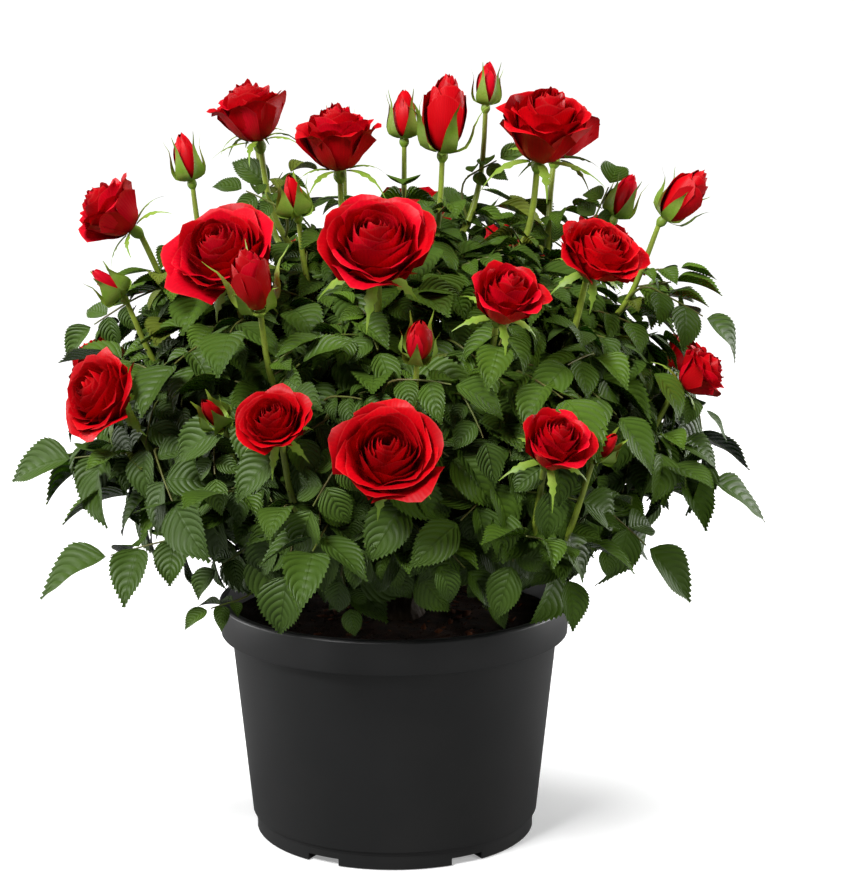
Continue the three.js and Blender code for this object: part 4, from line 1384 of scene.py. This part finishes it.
class ROSE_OT_soil(bpy.types.Operator):
    """Models the peat with its crumbs and bark chips"""

    bl_idname = "rose.soil"
    bl_label = "Model Soil"

    def execute(self, context):
        sizes = context.scene.rose_pot
        floor = BASE_LIFT + BASE_THICK + SOIL_LIFT
        collar = POT_HEIGHT - COLLAR_HEIGHT
        gap = WALL + SOIL_GAP
        edge = RIM_RADIUS - LIP_WIDTH - SOIL_GAP
        steps = [i / SOIL_RINGS for i in range(SOIL_RINGS)]
        profile = [
            (WALL_FOOT_RADIUS - gap, floor), (WALL_TOP_RADIUS - gap, collar - WALL), (edge, collar + WALL),
            *((edge * (1 - step), SOIL_EDGE_HEIGHT + SOIL_RISE * step) for step in steps),
        ]
        peat = turned_piece("peat", profile, POT_SIDES // 2)
        for vertex in peat.data.vertices:
            place = vertex.co / MM
            flat = math.hypot(place.x, place.y)
            if place.z > SOIL_EDGE_HEIGHT - 1 and flat < edge - 1:
                vertex.co.z += (2.6 * noise.noise(place * 0.06) + 1.3 * noise.noise(place * 0.21)) * MM
        smooth_by_angle(peat, 60)
        earth = earth_material("peat", tuple(sizes.peat_colour), DRY_PEAT)
        finish_piece(peat, earth, "peat", "soil")
        crumbs = join_mesh("peat_crumbs", scattered(sizes.crumbs, CRUMB_SEED, (0.8, 2.6), 0.8))
        finish_piece(crumbs, earth, "peat")
        chips = join_mesh("bark_chips", scattered(sizes.chips, CHIP_SEED, (2.5, 7.5), 0.3))
        finish_piece(chips, earth_material("bark_chip", *CHIP_COLOURS), "peat")
        return {"FINISHED"}


class ROSE_OT_stock(bpy.types.Operator):
    """Models the knuckle of old wood that the canes spring from"""

    bl_idname = "rose.stock"
    bl_label = "Model Stock"

    def execute(self, context):
        foot = SOIL_HEIGHT - 3
        profile = [(radius, SOIL_HEIGHT + share * STOCK_HEIGHT) for radius, share in STOCK_RINGS]
        profile = [(profile[0][0], foot), *profile, (4, SOIL_HEIGHT + STOCK_HEIGHT)]
        stock = turned_piece("rootstock", profile, 32)
        apply_modifier(stock, "SUBSURF", levels=2, render_levels=2)
        for vertex in stock.data.vertices:
            place = vertex.co / MM
            out = Vector((place.x, place.y, 0))
            if out.length < STOCK_HEART:
                continue
            furrow = noise.noise(Vector((place.x, place.y, place.z * 0.3)) * 0.35)
            knob = noise.noise(place * 0.12)
            vertex.co += out.normalized() * (1.3 * furrow + 2.2 * knob) * MM
        smooth_by_angle(stock, 70)
        bark = skin_material("stock_bark", *STOCK_COLOURS, 90, 0.85, 0.9)
        finish_piece(stock, bark, "bark", "stock")
        return {"FINISHED"}


def prickles(points, radii, seed):
    """Hooked prickles along a cane, as small three-sided thorns that lean back."""
    parts = []
    draw = random_from(seed)
    for i in range(3, len(points) - 2, 2):
        way = (points[i + 1] - points[i]).normalized()
        out = across_of(way)
        out.rotate(Quaternion(way, draw() * ANY_TURN))
        foot = points[i] + out * radii[i] * 0.8
        tip = foot + out * (2.6 + 1.6 * draw()) - way * 1.6
        wide = way.cross(out) * 0.7
        corners = [foot + way * 1.6, foot - way * 2 + wide, foot - way * 2 - wide, tip]
        faces = np.array([(0, 1, 3), (1, 2, 3), (2, 0, 3), (0, 2, 1)])
        parts.append((corner_rows(corners), faces, None))
    return parts


class ROSE_OT_canes(bpy.types.Operator):
    """Grows the canes from the stock into each leafy mass, with their prickles"""

    bl_idname = "rose.canes"
    bl_label = "Grow Canes"

    def execute(self, context):
        radius = context.scene.rose_growth.cane_radius / MM
        limbs, thorns = [], []
        for number, mass in enumerate(grown_plant().masses):
            points = mass.cane_points()
            radii = thinning(radius, 1.7, len(points))
            radii = [r * (1.12 if i % 6 == 5 else 1) for i, r in enumerate(radii)]
            limbs += tube(points, radii, 12, relief=0.16)
            thorns += prickles(points, radii, PRICKLE_SEED + number)
        canes = join_mesh("canes", limbs)
        finish_piece(canes, cane_material(), "cane", *node_names("cane_"))
        spikes = join_mesh("prickles", thorns)
        finish_piece(spikes, skin_material("prickle", *PRICKLE_COLOURS, 80, 0.5, 0.2), "cane")
        return {"FINISHED"}


class ROSE_OT_leaves(bpy.types.Operator):
    """Grows the shoots, twigs and leaves of every mass"""

    bl_idname = "rose.leaves"
    bl_label = "Grow Leaves"

    def execute(self, context):
        plant = grown_plant()
        rows, rachises = leaflet_rows()
        sizes = context.scene.rose_growth
        stem, twig = tuple(sizes.stem_colour), tuple(sizes.twig_colour)
        skin = skin_material("stem_skin", stem, blended(stem, STEM_FLUSH, 0.7), 60, 0.42, 0.15)
        bark = skin_material("twig_skin", twig, TWIG_FLUSH, 60, 0.5, 0.15)
        blade = leaf_material()
        pieces = [
            (limb_piece("flower_stems", plant.shoots, 9, relief=0.06), skin),
            (limb_piece("twigs", plant.twigs, 6), bark),
            (limb_piece("leaf_stalks", rachises, 5), bark),
        ]
        outer = np.hypot(rows[:, 0], rows[:, 1]) + 0.5 * rows[:, 2]
        order = np.argsort(outer, kind="stable")
        for name, part in zip(LEAF_PIECES, np.array_split(order, len(LEAF_PIECES))):
            columns = HIDDEN_COLUMNS if name == LEAF_PIECES[0] else LEAFLET_COLUMNS
            pieces.append((join_mesh(name, lay_leaflets(rows[part], columns), mapped=True), blade))
        for piece, material in pieces:
            finish_piece(piece, material, "foliage", *node_names("foliage_"))
        return {"FINISHED"}


class ROSE_OT_flowers(bpy.types.Operator):
    """Opens every bloom and bud with its petals, sepals and hip"""

    bl_idname = "rose.flowers"
    bl_label = "Open Flowers"

    def execute(self, context):
        colour = tuple(context.scene.rose_flowers.sepal_colour)
        petals = join_mesh("petals", lay_petals(petal_rows()), mapped=True)
        finish_piece(petals, petal_material(), "foliage", *node_names("foliage_"))
        green = skin_material("sepal_green", colour, blended(colour, SEPAL_FLUSH, 0.6), 120, 0.5, 0.2)
        finish_piece(join_mesh("sepals", lay_sepals(), mapped=True), green, "foliage")
        finish_piece(join_mesh("hips", lay_hips()), green, "foliage")
        return {"FINISHED"}


# Stage

FLOOR_REACH = 2200  # radius of the level floor, in millimetres, and of the sweep that rises from it
SWEEP_RADIUS = 1400
FLOOR_DROP = 0.5  # the floor lies this far under the pot
GLOW_FAR = 0.66  # the glow of the paper behind the plant
PAPER_SHADE = (0.8, 0.8, 0.8)
BOUNCE_COLOUR = (0.16, 0.16, 0.16)  # the paper as the plant sees it, so that little light comes from below
AIR_LIGHT = 0.07
LIGHT_TARGET = Vector((0, 0, 0.28))  # the middle of the plant, in metres
# Place and width of each light, its share of the key light's power, and whether gloss mirrors it
LIGHTS = {
    "key_light": ((-1.1, -1.5, 1.9), 0.8, 1, True),
    "fill_light": ((1.7, -1.4, 0.9), 0.8, 0.24, False),
    "top_light": ((0.2, 0.7, 2.1), 1.2, 0.55, False),
    "left_light": ((-1.7, 0.5, 0.4), 1.3, 0.26, True),
    "right_light": ((1.7, 0.9, 0.4), 1.3, 0.36, True),
}


def soft_light(name, place, width, power, mirrored):
    """A round area light that shines on the middle of the plant."""
    bpy.ops.object.light_add(type="AREA", location=place)
    lamp = bpy.context.active_object
    lamp.name = name
    lamp.data.shape = "DISK"
    lamp.data.size = width
    lamp.data.energy = power
    lamp.visible_glossy = mirrored
    lamp.rotation_euler = (LIGHT_TARGET - lamp.location).to_track_quat("-Z", "Y").to_euler()


def paper_material(sizes):
    """Pale paper that glows a little to the camera, and more with its distance from the pot."""
    material, tree, shader = new_material(
        "studio_floor", roughness=0.9, specular_ior_level=0.1, emission_color=(1.0, 1.0, 1.0)
    )
    calc = functools.partial(math_node, tree)
    mottle = place_group(tree, mottle_group(), scale=3.0, fine_scale=60.0)
    share = calc("MULTIPLY", mottle["Broad"], 0.04)
    paper = mix_colours(tree, share, tuple(sizes.floor_colour), PAPER_SHADE)
    place = tree.nodes.new("ShaderNodeTexCoord").outputs["Object"]
    away = new_node(tree, "ShaderNodeVectorMath", {0: place}, operation="LENGTH").outputs["Value"]
    far = calc("MULTIPLY_ADD", away, 1.2, -0.5, clamp=True)
    glow = calc("MULTIPLY_ADD", far, GLOW_FAR - sizes.floor_glow, sizes.floor_glow)
    seen = tree.nodes.new("ShaderNodeLightPath").outputs["Is Camera Ray"]
    tree.links.new(calc("MULTIPLY", seen, glow), shader.inputs["Emission Strength"])
    tree.links.new(mix_colours(tree, seen, BOUNCE_COLOUR, paper), shader.inputs["Base Color"])
    return material


def remove_top(floor):
    """Opens the floor's bowl by the disc that turned_piece closed it with, and turns its faces inwards."""
    mesh = floor.data
    top = max(vertex.co.z for vertex in mesh.vertices)
    bpy.context.view_layer.objects.active = floor
    bpy.ops.object.mode_set(mode="EDIT")
    bpy.ops.mesh.select_all(action="DESELECT")
    bpy.ops.object.mode_set(mode="OBJECT")
    for face in mesh.polygons:
        face.select = all(mesh.vertices[i].co.z > top - 1e-4 for i in face.vertices)
    bpy.ops.object.mode_set(mode="EDIT")
    bpy.ops.mesh.select_mode(type="FACE")
    bpy.ops.mesh.delete(type="ONLY_FACE")
    bpy.ops.mesh.select_all(action="SELECT")
    bpy.ops.mesh.normals_make_consistent(inside=True)
    bpy.ops.object.mode_set(mode="OBJECT")


class ROSE_OT_stage(bpy.types.Operator):
    """Sets the pale floor, the soft lights and the camera"""

    bl_idname = "rose.stage"
    bl_label = "Set Stage"

    def execute(self, context):
        scene = context.scene
        sizes = scene.rose_stage
        bowl = [(10, -FLOOR_DROP), (FLOOR_REACH, -FLOOR_DROP)]
        for turn in np.linspace(0.2, 1.4, 8):
            rise = SWEEP_RADIUS - SWEEP_RADIUS * math.cos(turn) - FLOOR_DROP
            bowl.append((FLOOR_REACH + SWEEP_RADIUS * math.sin(turn), rise))
        floor = turned_piece("studio_floor", bowl, 96)
        remove_top(floor)
        smooth_by_angle(floor, 60)
        floor.data.materials.append(paper_material(sizes))
        for name, (place, width, share, mirrored) in LIGHTS.items():
            soft_light(name, place, width, sizes.key_power * share, mirrored)
        scene.world = bpy.data.worlds.new("studio_air")
        scene.world.use_nodes = True
        air = scene.world.node_tree.nodes["Background"].inputs
        air["Color"].default_value = (1, 1, 1, 1)
        air["Strength"].default_value = AIR_LIGHT
        scene.view_settings.view_transform = "Standard"
        bpy.ops.object.camera_add(location=(0, -sizes.distance, sizes.height))
        camera = context.active_object
        camera.name = "studio_camera"
        camera.rotation_euler = (math.pi / 2 - sizes.pitch, 0, -sizes.yaw)
        camera.data.lens = sizes.lens
        camera.data.sensor_width = 36
        camera.data.clip_end = 50
        scene.camera = camera
        return {"FINISHED"}


OPERATORS = (
    ROSE_OT_pot, ROSE_OT_soil, ROSE_OT_stock, ROSE_OT_canes, ROSE_OT_leaves, ROSE_OT_flowers, ROSE_OT_stage,
)
GROUPS = {
    "rose_pot": PotSizes, "rose_growth": GrowthSizes, "rose_flowers": FlowerSizes, "rose_stage": StageSizes,
}


class ROSE_PT_panel(bpy.types.Panel):
    """Lists the plant's sizes and the operators that make its pieces"""

    bl_idname = "ROSE_PT_panel"
    bl_label = "Potted Rose"
    bl_space_type = "VIEW_3D"
    bl_region_type = "UI"
    bl_category = "Rose"

    def draw(self, context):
        for name, group in GROUPS.items():
            box = self.layout.box()
            for label in group.__annotations__:
                box.prop(getattr(context.scene, name), label)
        for operator in OPERATORS:
            self.layout.operator(operator.bl_idname)


def register():
    for item in (*GROUPS.values(), *OPERATORS, ROSE_PT_panel):
        bpy.utils.register_class(item)
    for name, group in GROUPS.items():
        setattr(bpy.types.Scene, name, bpy.props.PointerProperty(type=group))


def unregister():
    for name in GROUPS:
        delattr(bpy.types.Scene, name)
    for item in reversed((*GROUPS.values(), *OPERATORS, ROSE_PT_panel)):
        bpy.utils.unregister_class(item)


def main():
    register()
    bpy.ops.rose.pot()
    bpy.ops.rose.soil()
    bpy.ops.rose.stock()
    bpy.ops.rose.canes()
    bpy.ops.rose.leaves()
    bpy.ops.rose.flowers()
    bpy.ops.rose.stage()


if __name__ == "__main__":
    main()
